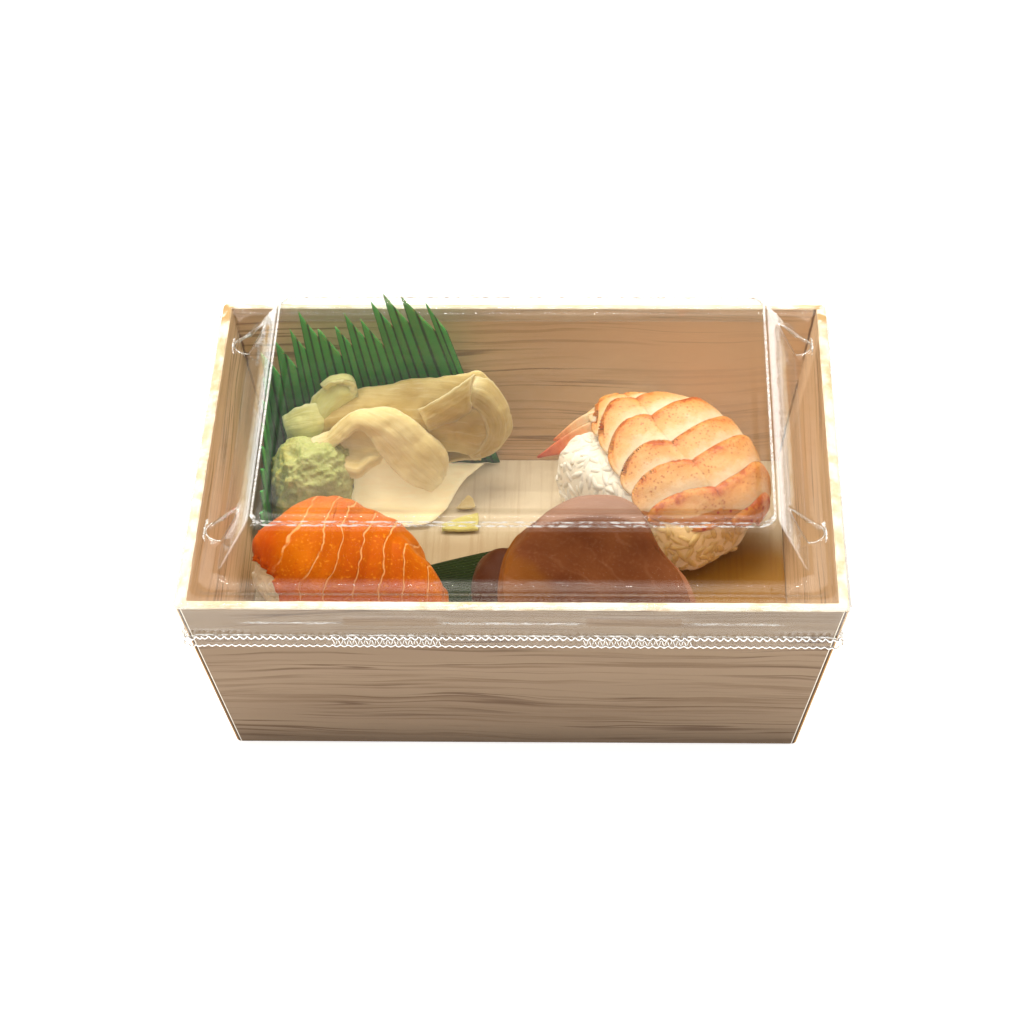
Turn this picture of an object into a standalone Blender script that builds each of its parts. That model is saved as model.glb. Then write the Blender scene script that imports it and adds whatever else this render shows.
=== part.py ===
"""Takeaway sushi tray: a wood-print board tray with a raised floor and a clear push-on lid.

In it are salmon, tuna and shrimp nigiri, pickled ginger, wasabi, a leaf strip and a plastic
grass divider. Metres, +Z up, front towards -Y, origin under the middle of the tray.
"""
import math

import bmesh
import bpy
from mathutils import Matrix, Vector

MM = 0.001

# Tray
RIM_LENGTH = 180.0 * MM
RIM_WIDTH = 143.0 * MM
RIM_HEIGHT = 58.8 * MM
LEAN = 0.205
BOARD = 2.8 * MM
CORNER_CUT = 1.2 * MM
INNER_CUT = 0.3 * MM
FLOOR_TOP = 9.7 * MM

# Clearance that touching pieces keep
GAP = 0.3 * MM

# Lid
LID_WALL = 0.4 * MM
LUG_RADIUS = 4.6 * MM
LUG_TIP = 8.0 * MM
LUG_PLACES = (49.0 * MM, -39.0 * MM)

# Where the food stands: on the floor, or on the leaf strip that lies on it
FOOD_BASE = FLOOR_TOP + GAP
LEAF_THICKNESS = 0.5 * MM
FRONT_ROW_BASE = FOOD_BASE + LEAF_THICKNESS + GAP


# ---------------------------------------------------------------- mesh helpers

def material(name, colour, roughness, alpha=1.0):
    """A Principled material with the piece's own colour."""
    made = bpy.data.materials.new(name)
    made.use_nodes = True
    shader = made.node_tree.nodes["Principled BSDF"]
    shader.inputs["Base Color"].default_value = (*colour, 1.0)
    shader.inputs["Roughness"].default_value = roughness
    shader.inputs["Alpha"].default_value = alpha
    return made


def add_piece(name, points, faces, finish, smooth=True, place=None):
    """One closed body as an object, with its faces turned outwards."""
    mesh = bpy.data.meshes.new(name)
    mesh.from_pydata([tuple(p) for p in points], [], faces)
    shape = bmesh.new()
    shape.from_mesh(mesh)
    bmesh.ops.recalc_face_normals(shape, faces=shape.faces)
    shape.to_mesh(mesh)
    shape.free()
    if smooth:
        mesh.shade_smooth()
    mesh.materials.append(finish)
    piece = bpy.data.objects.new(name, mesh)
    bpy.context.scene.collection.objects.link(piece)
    if place is not None:
        piece.matrix_world = place
    return piece


def loop_faces(first, second, count):
    """Quads between two closed loops of count points, given by their first indices."""
    return [(first + i, first + (i + 1) % count, second + (i + 1) % count, second + i)
            for i in range(count)]


def halved(quad, other_way):
    """The two triangles of a quad, split along either diagonal."""
    a, b, c, d = quad
    return [(a, b, d), (b, c, d)] if other_way else [(a, b, c), (a, c, d)]


def closed_by_poles(rings, first_pole, last_pole, inner_from=None):
    """Points and faces of a body made of rings and closed by a point at each end.

    A thin shell comes back on its own inside from ring inner_from on, and its two sides
    are split along the same diagonals there, so that they stay apart.
    """
    count = len(rings[0])
    points = [p for ring in rings for p in ring]
    faces = []
    for k in range(len(rings) - 1):
        quads = loop_faces(k * count, (k + 1) * count, count)
        if inner_from is None:
            faces += quads
        else:
            for quad in quads:
                faces += halved(quad, k >= inner_from)
    first, last = len(points), len(points) + 1
    points += [first_pole, last_pole]
    end = (len(rings) - 1) * count
    for i in range(count):
        faces.append((first, (i + 1) % count, i))
        faces.append((last, end + i, end + (i + 1) % count))
    return points, faces


def sheet_body(surface, rows, columns, thickness):
    """Points and faces of a thin body over surface(s, t), with s and t from 0 to 1.

    thickness(s, t) is laid on along the surface's normal.
    """
    step = 1e-4
    lower, upper = [], []
    for i in range(rows):
        for j in range(columns):
            s, t = i / (rows - 1), j / (columns - 1)
            here = Vector(surface(s, t))
            s_low, t_low = min(s, 1 - step), min(t, 1 - step)
            along = Vector(surface(s_low + step, t)) - Vector(surface(s_low, t))
            across = Vector(surface(s, t_low + step)) - Vector(surface(s, t_low))
            normal = along.cross(across).normalized()
            lower.append(here)
            upper.append(here + normal * thickness(s, t))
    count = rows * columns
    faces = []
    for i in range(rows - 1):
        for j in range(columns - 1):
            a = i * columns + j
            quad = (a, a + 1, a + columns + 1, a + columns)
            faces.append(quad)
            faces.append(tuple(count + k for k in reversed(quad)))
    border = [j for j in range(columns)]
    border += [i * columns + columns - 1 for i in range(1, rows)]
    border += [(rows - 1) * columns + j for j in range(columns - 2, -1, -1)]
    border += [i * columns for i in range(rows - 2, 0, -1)]
    for k, a in enumerate(border):
        b = border[(k + 1) % len(border)]
        faces.append((b, a, count + a, count + b))
    return lower + upper, faces


def power(value, exponent):
    """A power that keeps the sign, for squared-off circles."""
    return math.copysign(abs(value) ** exponent, value)


def mix(a, b, t):
    return a + (b - a) * t


def at(x, y, z, turn):
    """The place of a piece: its centre in millimetres and its turn about Z in degrees."""
    return Matrix.Translation((x * MM, y * MM, z)) @ Matrix.Rotation(math.radians(turn), 4, "Z")


# ------------------------------------------------------------------------ tray

def wall_run(height):
    """How far a wall's face has come in at this height below the rim."""
    return LEAN * (RIM_HEIGHT - height)


def cut_rectangle(half_x, half_y, cut, height):
    """A rectangle with its corners cut off, as eight points."""
    corners = ((1, 1), (-1, 1), (-1, -1), (1, -1))
    points = []
    for number, (sx, sy) in enumerate(corners):
        pair = [(sx * half_x, sy * (half_y - cut), height),
                (sx * (half_x - cut), sy * half_y, height)]
        points += pair if number % 2 == 0 else pair[::-1]
    return points


def make_tray_walls(finish):
    """Four leaning walls of thick board, with a square-cut rim, as one ring."""
    lean_angle = math.atan(LEAN)
    rim_run = BOARD * math.cos(lean_angle)
    rim_drop = BOARD * math.sin(lean_angle)
    inner_x = RIM_LENGTH / 2 - rim_run
    inner_y = RIM_WIDTH / 2 - rim_run
    foot = wall_run(0.0)
    foot_board = BOARD / math.cos(lean_angle)
    rings = [
        cut_rectangle(inner_x - foot + foot_board, inner_y - foot + foot_board, CORNER_CUT, 0.0),
        cut_rectangle(RIM_LENGTH / 2, RIM_WIDTH / 2, CORNER_CUT, RIM_HEIGHT - rim_drop),
        cut_rectangle(inner_x, inner_y, INNER_CUT, RIM_HEIGHT),
        cut_rectangle(inner_x - foot, inner_y - foot, INNER_CUT, 0.0),
    ]
    count = len(rings[0])
    points = [p for ring in rings for p in ring]
    faces = []
    for k in range(4):
        faces += loop_faces(k * count, ((k + 1) % 4) * count, count)
    return add_piece("tray_walls", points, faces, finish, smooth=False)


def inner_half(height):
    """Half the tray's inside length and width at a height."""
    rim_run = BOARD * math.cos(math.atan(LEAN))
    return (RIM_LENGTH / 2 - rim_run - wall_run(height),
            RIM_WIDTH / 2 - rim_run - wall_run(height))


def make_tray_floor(finish):
    """The raised floor board, with edges that lean as the walls do."""
    under = FLOOR_TOP - BOARD
    side_gap = GAP / math.cos(math.atan(LEAN))
    points = []
    for height in (under, FLOOR_TOP):
        half_x, half_y = inner_half(height)
        points += cut_rectangle(half_x - side_gap, half_y - side_gap, INNER_CUT, height)
    count = len(points) // 2
    faces = loop_faces(0, count, count)
    faces.append(tuple(range(count)))
    faces.append(tuple(range(count, 2 * count)))
    return add_piece("tray_floor", points, faces, finish, smooth=False)


# ------------------------------------------------------------------------- lid

def lid_profile():
    """The lid's outer side from the plateau to the hem: half length, half width, cut, height.

    Heights are above the tray's rim.
    """
    dome_foot = (80.0, 61.2, 4.5, 0.2)
    dome_head = (71.6, 55.0, 4.2, 13.2)
    rows = [
        (66.4, 49.6, 3.0, 15.3),
        (67.2, 50.4, 3.2, 15.7),
        (69.2, 52.4, 3.6, 15.7),
        (70.2, 53.4, 4.0, 15.0),
        (70.6, 53.9, 4.1, 13.6),
        dome_head,
    ]
    tip = LUG_TIP / MM
    for height in (tip, tip * 2 / 3, tip / 3):
        share = (dome_head[3] - height) / (dome_head[3] - dome_foot[3])
        rows.append(tuple(mix(dome_head[k], dome_foot[k], share) for k in range(3)) + (height,))
    rows += [
        dome_foot,
        (84.8, 65.8, 4.0, 0.2),
        (86.0, 67.3, 3.6, 0.4),
        (86.7, 68.2, 3.4, 1.0),
        (90.3, 71.9, 2.0, 1.0),
        (90.9, 72.4, 1.6, 0.4),
        (88.5, 70.0, 1.6, -11.6),
        (89.3, 70.8, 1.6, -11.9),
        (88.7, 70.2, 1.6, -14.9),
    ]
    return [tuple(value * MM for value in row) for row in rows]


def lid_ring(half_x, half_y, cut, rise, lug_reach=0.0):
    """One loop of the lid, at a height above the rim, bulged where the stacking lugs are."""
    width = LUG_RADIUS if rise <= 1.0 * MM else max(lug_reach, 1.5 * MM)
    room = half_y - cut - 2.5 * MM
    lug_columns = []
    for place in LUG_PLACES:
        centre = math.copysign(min(abs(place), room), place)
        lug_columns += [centre + width * share for share in (-1, -0.7, 0, 0.7, 1)]
    y_columns = sorted(lug_columns + [5.0 * MM])
    x_columns = [share * half_x for share in (-0.5, 0.0, 0.5)]
    bulge = 0.14 * cut
    height = RIM_HEIGHT + rise
    points = []
    for sx, columns in ((1, y_columns), (-1, y_columns[::-1])):
        points.append((sx * half_x, -sx * (half_y - cut), height))
        for y in columns:
            reach = 0.0
            for place in LUG_PLACES:
                if abs(y - place) < lug_reach:
                    reach = math.sqrt(lug_reach ** 2 - (y - place) ** 2)
            points.append((sx * (half_x + reach), y, height))
        points.append((sx * half_x, sx * (half_y - cut), height))
        middle = cut / 2 - bulge
        points.append((sx * (half_x - middle), sx * (half_y - middle), height))
        points.append((sx * (half_x - cut), sx * half_y, height))
        for x in x_columns[::-1]:
            points.append((sx * x, sx * half_y, height))
        points.append((-sx * (half_x - cut), sx * half_y, height))
        points.append((-sx * (half_x - middle), sx * (half_y - middle), height))
    return points


def lug_reach_at(rise, foot):
    """The lug's radius at a height: a half cone that stands on the ledge."""
    if rise < foot or rise > LUG_TIP:
        return 0.0
    return LUG_RADIUS * (1 - (rise - foot) / (LUG_TIP - foot))


def make_lid(finish):
    """The clear lid: plateau, dome sides with four lugs, ledge, and a skirt over the rim."""
    outer = lid_profile()
    foot = 0.2 * MM
    foot_row = next(k for k, row in enumerate(outer) if row[3] <= foot)
    inner = []
    for k, (half_x, half_y, cut, rise) in enumerate(outer):
        before, after = outer[max(k - 1, 0)], outer[min(k + 1, len(outer) - 1)]
        run = (after[0] + after[1] - before[0] - before[1]) / 2
        climb = after[3] - before[3]
        length = math.hypot(run, climb)
        out_run, out_rise = -climb / length, run / length
        inner.append((half_x - out_run * LID_WALL, half_y - out_run * LID_WALL,
                      cut, rise - out_rise * LID_WALL))
    loops = []
    for rows in (outer, inner[::-1]):
        for half_x, half_y, cut, rise in rows:
            near_dome = half_x < outer[foot_row][0] + LID_WALL and rise <= LUG_TIP
            reach = lug_reach_at(max(rise, foot), foot) if near_dome else 0.0
            loops.append(lid_ring(half_x, half_y, cut, rise, reach))
    top = (0, 0, RIM_HEIGHT + outer[0][3])
    under = (0, 0, RIM_HEIGHT + inner[0][3])
    points, faces = closed_by_poles(loops, top, under, inner_from=len(outer))
    return add_piece("lid", points, faces, finish)


# ---------------------------------------------------------------------- nigiri

class Nigiri:
    """The pressed rice block of one piece: its half sizes, height, place and turn.

    Sizes are in millimetres. square is 1 for an ellipse along the piece and less for a
    squarer block, slope lowers the block's end at +X, as a share of its height, and flat
    does across the piece what square does along it.
    """

    def __init__(self, half_length, half_width, height, centre, turn, base, square, slope,
                 flat=0.85):
        self.half_length = half_length * MM
        self.half_width = half_width * MM
        self.rise = height * MM * 0.6
        self.depth = height * MM * 0.4
        self.square = square
        self.slope = slope
        self.flat = flat
        self.place = at(centre[0], centre[1], base + self.depth, turn)

    def dome(self, u, v, grow=0.0):
        """A point on the block: u from end to end, v round it from 0 at the top."""
        along = power(math.sin(u), self.square)
        around = abs(math.cos(u)) ** self.square
        x = (self.half_length + grow) * along
        y = (self.half_width + grow) * around * power(math.sin(v), self.flat)
        z = around * power(math.cos(v), self.flat)
        if z > 0:
            z *= (self.rise + grow) * (1 - self.slope * along)
        else:
            z *= self.depth + grow
        return Vector((x, y, z))


def make_rice(name, piece, finish):
    """A pressed block of rice, squared off towards its base."""
    stations = 9
    around = 16
    rings = []
    for i in range(1, stations):
        u = math.pi * (i / stations - 0.5)
        rings.append([piece.dome(u, 2 * math.pi * j / around) for j in range(around)])
    ends = [piece.dome(sign * math.pi / 2, 0.0) for sign in (-1, 1)]
    points, faces = closed_by_poles(rings, *ends)
    return add_piece(name, points, faces, finish, place=piece.place)


def make_topping(name, piece, finish, ends, sides, thickness, overhang=1.2 * MM):
    """A slice draped over the rice, in degrees round its dome.

    ends(t) gives where the slice starts and stops along the piece, and sides(s) across it.
    """
    def surface(s, t):
        u = math.radians(mix(*ends(t), s))
        v = math.radians(mix(*sides(s), t))
        return piece.dome(u, v, overhang)

    def laid_on(s, t):
        thin_end = 1 - 0.55 * abs(2 * s - 1) ** 4
        thin_side = 1 - 0.5 * abs(2 * t - 1) ** 4
        return thickness * thin_end * thin_side

    points, faces = sheet_body(surface, 13, 11, laid_on)
    return add_piece(name, points, faces, finish, place=piece.place)


def make_salmon(rice_finish, fish_finish):
    """Salmon nigiri at the front left, with its rice bare at the left end."""
    piece = Nigiri(26.5, 14.5, 24.0, (-49.0, -12.0), -4.0, FRONT_ROW_BASE, 1.0, 0.48)
    make_rice("salmon_rice", piece, rice_finish)
    make_topping("salmon_slice", piece, fish_finish, thickness=6.0 * MM,
                 ends=lambda t: (mix(-70, -56, t), mix(84, 52, t)),
                 sides=lambda s: (mix(-50, -84, min(1.0, 5 * s)), mix(56, 64, s)))


def make_tuna(rice_finish, fish_finish):
    """Tuna nigiri at the front, right of the middle, its slice cut slantwise."""
    piece = Nigiri(25.0, 14.5, 27.0, (22.0, -14.0), -2.0, FRONT_ROW_BASE, 0.98, 0.12)
    make_rice("tuna_rice", piece, rice_finish)
    make_topping("tuna_slice", piece, fish_finish, thickness=6.2 * MM,
                 ends=lambda t: (mix(-84, -34, t), mix(88, 22, t)),
                 sides=lambda s: (mix(-78, -86, s), mix(60, 52, s)))


def make_shrimp(rice_finish, shrimp_finish):
    """Shrimp nigiri across the back right, with its tail hanging past the rice's end."""
    piece = Nigiri(30.5, 16.5, 27.5, (42.8, 27.0), -46.0, FOOD_BASE, 0.56, -0.03, 0.66)
    make_rice("shrimp_rice", piece, rice_finish)
    overhang = 1.2 * MM
    tail_share = 0.22
    tail_tip = Vector((-37.0, -19.0, 4.0)) * MM
    tail_width = 9.0 * MM

    def on_body(share, t):
        u = math.radians(mix(-58, 60, share))
        left = mix(-34, -82, min(1.0, 4 * share))
        right = mix(46, 84, min(1.0, 3 * share))
        return piece.dome(u, math.radians(mix(left, right, t)), overhang)

    def surface(s, t):
        if s >= tail_share:
            return on_body((s - tail_share) / (1 - tail_share), t)
        fan = Vector((0.4, -0.25, 0.9)) * (mix(0.5, -0.5, t) * tail_width)
        share = (s / tail_share) ** 0.8
        return (tail_tip + fan).lerp(on_body(0.0, t), share)

    def laid_on(s, t):
        side = 1 - 0.55 * abs(2 * t - 1) ** 3
        if s < tail_share:
            return mix(1.4, 4.0, s / tail_share) * MM * side
        return 5.2 * MM * side * (1 - 0.5 * max(0.0, s - 0.85) / 0.15)

    points, faces = sheet_body(surface, 19, 11, laid_on)
    return add_piece("shrimp", points, faces, shrimp_finish, place=piece.place)


# ---------------------------------------------------------------- side pieces

def make_leaf_strip(finish):
    """A cut leaf that lies on the floor under the front row and shows between its pieces."""
    tip = Vector((-50.0, -8.0)) * MM
    stem = Vector((10.0, 2.0)) * MM
    along = (stem - tip).normalized()
    across = Vector((-along.y, along.x))
    half_width = 15.0 * MM

    def surface(s, t):
        spread = half_width * (0.06 + 0.94 * math.sin(s * math.pi / 2) ** 0.8)
        flat = tip.lerp(stem, s) + across * mix(-1, 1, t) * spread
        return (flat.x, flat.y, FOOD_BASE)

    points, faces = sheet_body(surface, 9, 3, lambda s, t: LEAF_THICKNESS)
    return add_piece("leaf_strip", points, faces, finish, smooth=False)


def make_wasabi(finish):
    """A lump of paste pressed by hand, broad below and uneven above."""
    half_x, half_y, height = 12.5 * MM, 11.5 * MM, 21.0 * MM
    levels, around = 10, 20
    rings = []
    for i in range(levels):
        share = i / levels
        spread = (1 - share ** 3.4) ** 0.5 * (0.9 + 0.1 * math.sin(math.pi * min(1, share * 3)))
        ring = []
        for j in range(around):
            angle = 2 * math.pi * j / around
            lumps = 1 + 0.06 * math.sin(3 * angle + 5 * share) + 0.04 * math.sin(7 * angle - 9 * share)
            ring.append((half_x * spread * lumps * math.cos(angle),
                         half_y * spread * lumps * math.sin(angle), height * share))
        rings.append(ring)
    points, faces = closed_by_poles(rings, (0, 0, 0), (0, 0, height))
    return add_piece("wasabi", points, faces, finish, place=at(-61.0, 35.0, FOOD_BASE, 10))


# ---------------------------------------------------------------------- ginger

GINGER_THICKNESS = 1.3 * MM


def ginger_slice(name, surface, finish, rows=13, columns=9, thickness=GINGER_THICKNESS):
    """One thin slice of pickled ginger over a surface given in millimetres."""
    def in_metres(s, t):
        return Vector(surface(s, t)) * MM

    def laid_on(s, t):
        edge = min(s, 1 - s, t, 1 - t)
        return thickness * (0.55 + 0.45 * min(1.0, edge * 6))

    points, faces = sheet_body(in_metres, rows, columns, laid_on)
    return add_piece(name, points, faces, finish)


def make_ginger(finish, scrap_finish):
    """The pile of pickled ginger at the back left, and a scrap of it on the floor."""
    def roll(s, t):
        radius = mix(6.0, 11.0, s) * (1 + 0.05 * math.sin(9 * s)) * (1 - 0.3 * s ** 8)
        turn = math.radians(mix(-70, 235, t))
        x = mix(-52, -6, s) + 2.0 * math.cos(turn)
        y = mix(46.5, 48.0, s) + radius * 0.65 * math.cos(turn)
        z = mix(34.5, 34.0, s) + radius * math.sin(turn)
        return x, y, z

    def fold(s, t):
        turn = math.radians(mix(165, -8, s))
        x = -40 + 15.5 * math.cos(turn) + 2 * t
        y = mix(28, 38.5, t) - 1.5 * math.sin(turn)
        z = mix(27.5, 17, s) + (18.0 - 5.0 * (1 - t)) * math.sin(turn)
        return x, y, z

    def petal(s, t):
        x = mix(-47, mix(-27, -13, t), s)
        y = mix(mix(24, 21, s), mix(42, 52, s), t)
        z = 10.3 + 2.5 * (1 - s) * t + 0.5 * math.sin(2 * t) ** 2
        return x, y, z

    def curl(s, t):
        x = mix(-71, -57, s) + 4.0 * t * s
        y = mix(49, 54, t) + 1.2 * math.sin(3 * s)
        z = mix(26, 38, t) + 4.5 * s - 3 * (1 - s) * t
        return x, y, z

    def slab(s, t):
        return mix(-25, -13, s), mix(51, 56, t), 15.0 + 0.6 * math.sin(3 * s + t)

    def scrap(s, t):
        x = mix(-5.5, 5.5, s)
        return x, mix(-1.5, mix(2.5, 6.5, s), t), 0.5 * math.sin(1.2 * s + 0.8 * t)

    ginger_slice("ginger_roll", roll, finish, rows=13, columns=15)
    ginger_slice("ginger_fold", fold, finish, rows=13, columns=7)
    ginger_slice("ginger_petal", petal, finish, rows=11, columns=7)
    ginger_slice("ginger_curl", curl, finish, rows=9, columns=7)
    ginger_slice("ginger_slab", slab, finish, rows=6, columns=4)
    loose = ginger_slice("ginger_scrap", scrap, scrap_finish, rows=7, columns=4)
    loose.matrix_world = at(-18.5, 24.0, FOOD_BASE, 4)


# ---------------------------------------------------------------------- grass

GRASS_THICKNESS = 0.5 * MM
BLADE_PITCH = 5.9 * MM
BACK_BLADES = (58.5, 60.5, 62.0, 59.0, 52.0, 53.5, 50.0, 47.5, 55.0, 48.0)
CORNER_BLADES = 9


def grass_foot(distance):
    """The grass sheet's foot: along the back wall from its right end, then round the corner."""
    right, corner, radius = -7.5 * MM, -68.0 * MM, 7.0 * MM
    back = 57.0 * MM
    straight = right - corner
    bend = radius * math.pi / 2
    if distance < straight:
        return Vector((right - distance, back)), Vector((0, 1))
    if distance < straight + bend:
        angle = math.pi / 2 + (distance - straight) / radius
        side = Vector((math.cos(angle), math.sin(angle)))
        return Vector((corner, back - radius)) + side * radius, side
    run = distance - straight - bend
    return Vector((corner - radius, back - radius - run)), Vector((-1, 0))


def blade_height(number):
    """Height of a blade's tip over the floor: tall at the back, lower round the corner."""
    if number < len(BACK_BLADES):
        return BACK_BLADES[number] * MM
    return mix(46.0, 18.0, (number - len(BACK_BLADES)) / (CORNER_BLADES - 1)) * MM


def grass_point(distance, height, behind):
    """A point of the leaning sheet: its blades slant to the left, more so at the right end."""
    foot, side = grass_foot(distance)
    back_length = len(BACK_BLADES) * BLADE_PITCH
    slant = mix(0.30, 0.10, min(1.0, distance / back_length)) * abs(side.y)
    lean = 0.05 if side.x < -0.5 else -0.04
    spot = foot + side * (lean * height - GRASS_THICKNESS * behind)
    forward = 0.35 * height * max(0.0, distance - back_length - 12 * MM) / back_length
    return Vector((spot.x - slant * height, spot.y - forward, FOOD_BASE + height))


def make_grass(finish):
    """The plastic grass: a thin standing sheet whose top is cut into pointed blades."""
    count = len(BACK_BLADES) + CORNER_BLADES
    columns = []
    for number in range(count):
        tip = blade_height(number)
        columns.append((number * BLADE_PITCH, tip * 0.7))
        columns.append(((number + 0.6) * BLADE_PITCH, tip))
    columns.append((count * BLADE_PITCH, columns[-1][1] * 0.7))
    levels = (0.0, 0.35, 0.7, 1.0)
    points = []
    for behind in (0, 1):
        for distance, top in columns:
            points += [grass_point(distance, top * level, behind) for level in levels]
    total, high = len(columns), len(levels)
    shift = total * high
    faces = []
    for i in range(total - 1):
        for j in range(high - 1):
            a = i * high + j
            quad = (a, a + 1, a + high + 1, a + high)
            faces.append(quad)
            faces.append(tuple(shift + k for k in reversed(quad)))
    border = [i * high for i in range(total)]
    border += [(total - 1) * high + j for j in range(1, high)]
    border += [i * high + high - 1 for i in range(total - 2, -1, -1)]
    border += [j for j in range(high - 2, 0, -1)]
    for k, a in enumerate(border):
        b = border[(k + 1) % len(border)]
        faces.append((b, a, shift + a, shift + b))
    return add_piece("grass_divider", points, faces, finish, smooth=False)


# ------------------------------------------------------------------------ make

def clear_scene():
    for old in list(bpy.data.objects):
        bpy.data.objects.remove(old)


def main():
    clear_scene()
    board = material("wood_print_board", (0.62, 0.52, 0.40), 0.6)
    floor = material("pale_wood_print", (0.86, 0.77, 0.63), 0.6)
    clear = material("clear_plastic", (0.95, 0.97, 0.97), 0.05, alpha=0.25)
    rice = material("rice", (0.90, 0.89, 0.84), 0.5)
    salmon = material("salmon", (0.85, 0.36, 0.08), 0.35)
    tuna = material("tuna", (0.40, 0.17, 0.12), 0.35)
    shrimp = material("shrimp", (0.88, 0.58, 0.34), 0.35)
    ginger = material("ginger", (0.86, 0.80, 0.58), 0.35)
    scrap = material("ginger_scrap", (0.74, 0.70, 0.30), 0.35)
    paste = material("wasabi", (0.60, 0.66, 0.36), 0.6)
    leaf = material("leaf", (0.05, 0.15, 0.07), 0.45)
    grass = material("grass_plastic", (0.07, 0.35, 0.15), 0.4)

    make_tray_walls(board)
    make_tray_floor(floor)
    make_lid(clear)
    make_leaf_strip(leaf)
    make_salmon(rice, salmon)
    make_tuna(rice, tuna)
    make_shrimp(rice, shrimp)
    make_wasabi(paste)
    make_ginger(ginger, scrap)
    make_grass(grass)


main()
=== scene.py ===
"""Takeaway sushi tray: a board box with a wood print, nigiri, pickled ginger, wasabi,
a plastic grass divider and a clear lid that lifts off."""
import math

import bmesh
import bpy
import numpy as np
from mathutils import Euler, Matrix, Vector, noise


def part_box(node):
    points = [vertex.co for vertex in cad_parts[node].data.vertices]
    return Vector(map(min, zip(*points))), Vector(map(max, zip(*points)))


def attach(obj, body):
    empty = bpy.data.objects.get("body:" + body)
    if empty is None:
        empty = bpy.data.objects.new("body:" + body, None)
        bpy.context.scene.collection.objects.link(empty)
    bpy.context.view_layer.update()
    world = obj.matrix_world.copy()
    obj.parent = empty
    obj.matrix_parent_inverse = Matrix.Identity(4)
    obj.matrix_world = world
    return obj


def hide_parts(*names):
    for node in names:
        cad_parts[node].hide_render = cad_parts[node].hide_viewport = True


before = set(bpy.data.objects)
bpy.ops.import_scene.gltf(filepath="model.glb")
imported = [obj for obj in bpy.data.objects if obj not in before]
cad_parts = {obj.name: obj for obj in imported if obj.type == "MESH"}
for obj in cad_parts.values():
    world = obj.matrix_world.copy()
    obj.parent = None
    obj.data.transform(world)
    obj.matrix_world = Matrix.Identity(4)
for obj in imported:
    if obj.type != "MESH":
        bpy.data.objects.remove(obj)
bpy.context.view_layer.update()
MM = 0.001

# The tray, as packed: heights and half sizes in millimetres
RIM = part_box("tray_walls")[1].z / MM
HALF_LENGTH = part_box("tray_walls")[1].x / MM
HALF_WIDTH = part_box("tray_walls")[1].y / MM
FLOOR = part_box("tray_floor")[1].z / MM
LEAN = 0.205
BOARD = 2.8
FOOD_BASE = FLOOR + 0.3
LEAF_TOP = FOOD_BASE + 0.8


# ------------------------------------------------------------------ numbers

def mix(a, b, t):
    return a + (b - a) * t


def ease(value, low, high):
    """0 below low, 1 above high, and a smooth rise between them."""
    t = np.clip((value - low) / (high - low), 0.0, 1.0)
    return t * t * (3 - 2 * t)


def power(value, exponent):
    """A power that keeps the sign, for squared-off circles."""
    return np.sign(value) * np.abs(value) ** exponent


def lumps(points, size, seed=0.0, octaves=2):
    """Smooth random values, about -1 to 1, with lumps of this size in millimetres."""
    flat = np.asarray(points, dtype=float).reshape(-1, 3) / size + seed
    values = [noise.fractal(Vector(p), 1.0, 2.0, octaves) for p in flat]
    return np.array(values).reshape(np.shape(points)[:-1])


def wave(values, size, seed=0.0, octaves=2):
    """Smooth random values along a line of numbers."""
    values = np.asarray(values, dtype=float)
    points = np.stack([values, values * 0 + seed, values * 0], axis=-1)
    return lumps(points, size, seed, octaves)


def spread(count, tight=0.0):
    """Numbers from 0 to 1, closer together near both ends when tight is near 1."""
    even = np.linspace(0.0, 1.0, count)
    return mix(even, 0.5 - 0.5 * np.cos(math.pi * even), tight)


def over(rows, columns, tight=0.0):
    """s along a sheet and t across it, as two grids."""
    return np.meshgrid(spread(rows, tight), spread(columns, tight), indexing="ij")


def joined(x, y, z):
    return np.stack(np.broadcast_arrays(x, y, z), axis=-1).astype(float)


def normals(points):
    """The direction that faces out of a grid of points."""
    across = np.cross(np.gradient(points, axis=0), np.gradient(points, axis=1))
    return across / np.maximum(np.linalg.norm(across, axis=-1, keepdims=True), 1e-9)


def along_line(points, shares):
    """Places on a smooth line through points, at shares from 0 to 1 of its length."""
    points = np.array(points, dtype=float)
    reach = np.concatenate([[0.0], np.cumsum(np.linalg.norm(np.diff(points, axis=0), axis=1))])
    reach /= reach[-1]
    slopes = np.gradient(points, reach, axis=0)
    k = np.clip(np.searchsorted(reach, shares, side="right") - 1, 0, len(points) - 2)
    gap = (reach[k + 1] - reach[k])[:, None]
    t = (np.asarray(shares) - reach[k])[:, None] / gap
    return ((2 * t ** 3 - 3 * t ** 2 + 1) * points[k] + (t ** 3 - 2 * t ** 2 + t) * gap * slopes[k]
            + (3 * t ** 2 - 2 * t ** 3) * points[k + 1] + (t ** 3 - t ** 2) * gap * slopes[k + 1])


def loft(lines, rows, columns, tight=0.3):
    """A grid of points over a sheet that passes through lines, each from its left end."""
    ribs = np.stack([along_line(line, spread(rows, tight)) for line in lines])
    return np.stack([along_line(ribs[:, i], spread(columns, tight)) for i in range(rows)])


# ------------------------------------------------------------------ meshes

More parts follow.
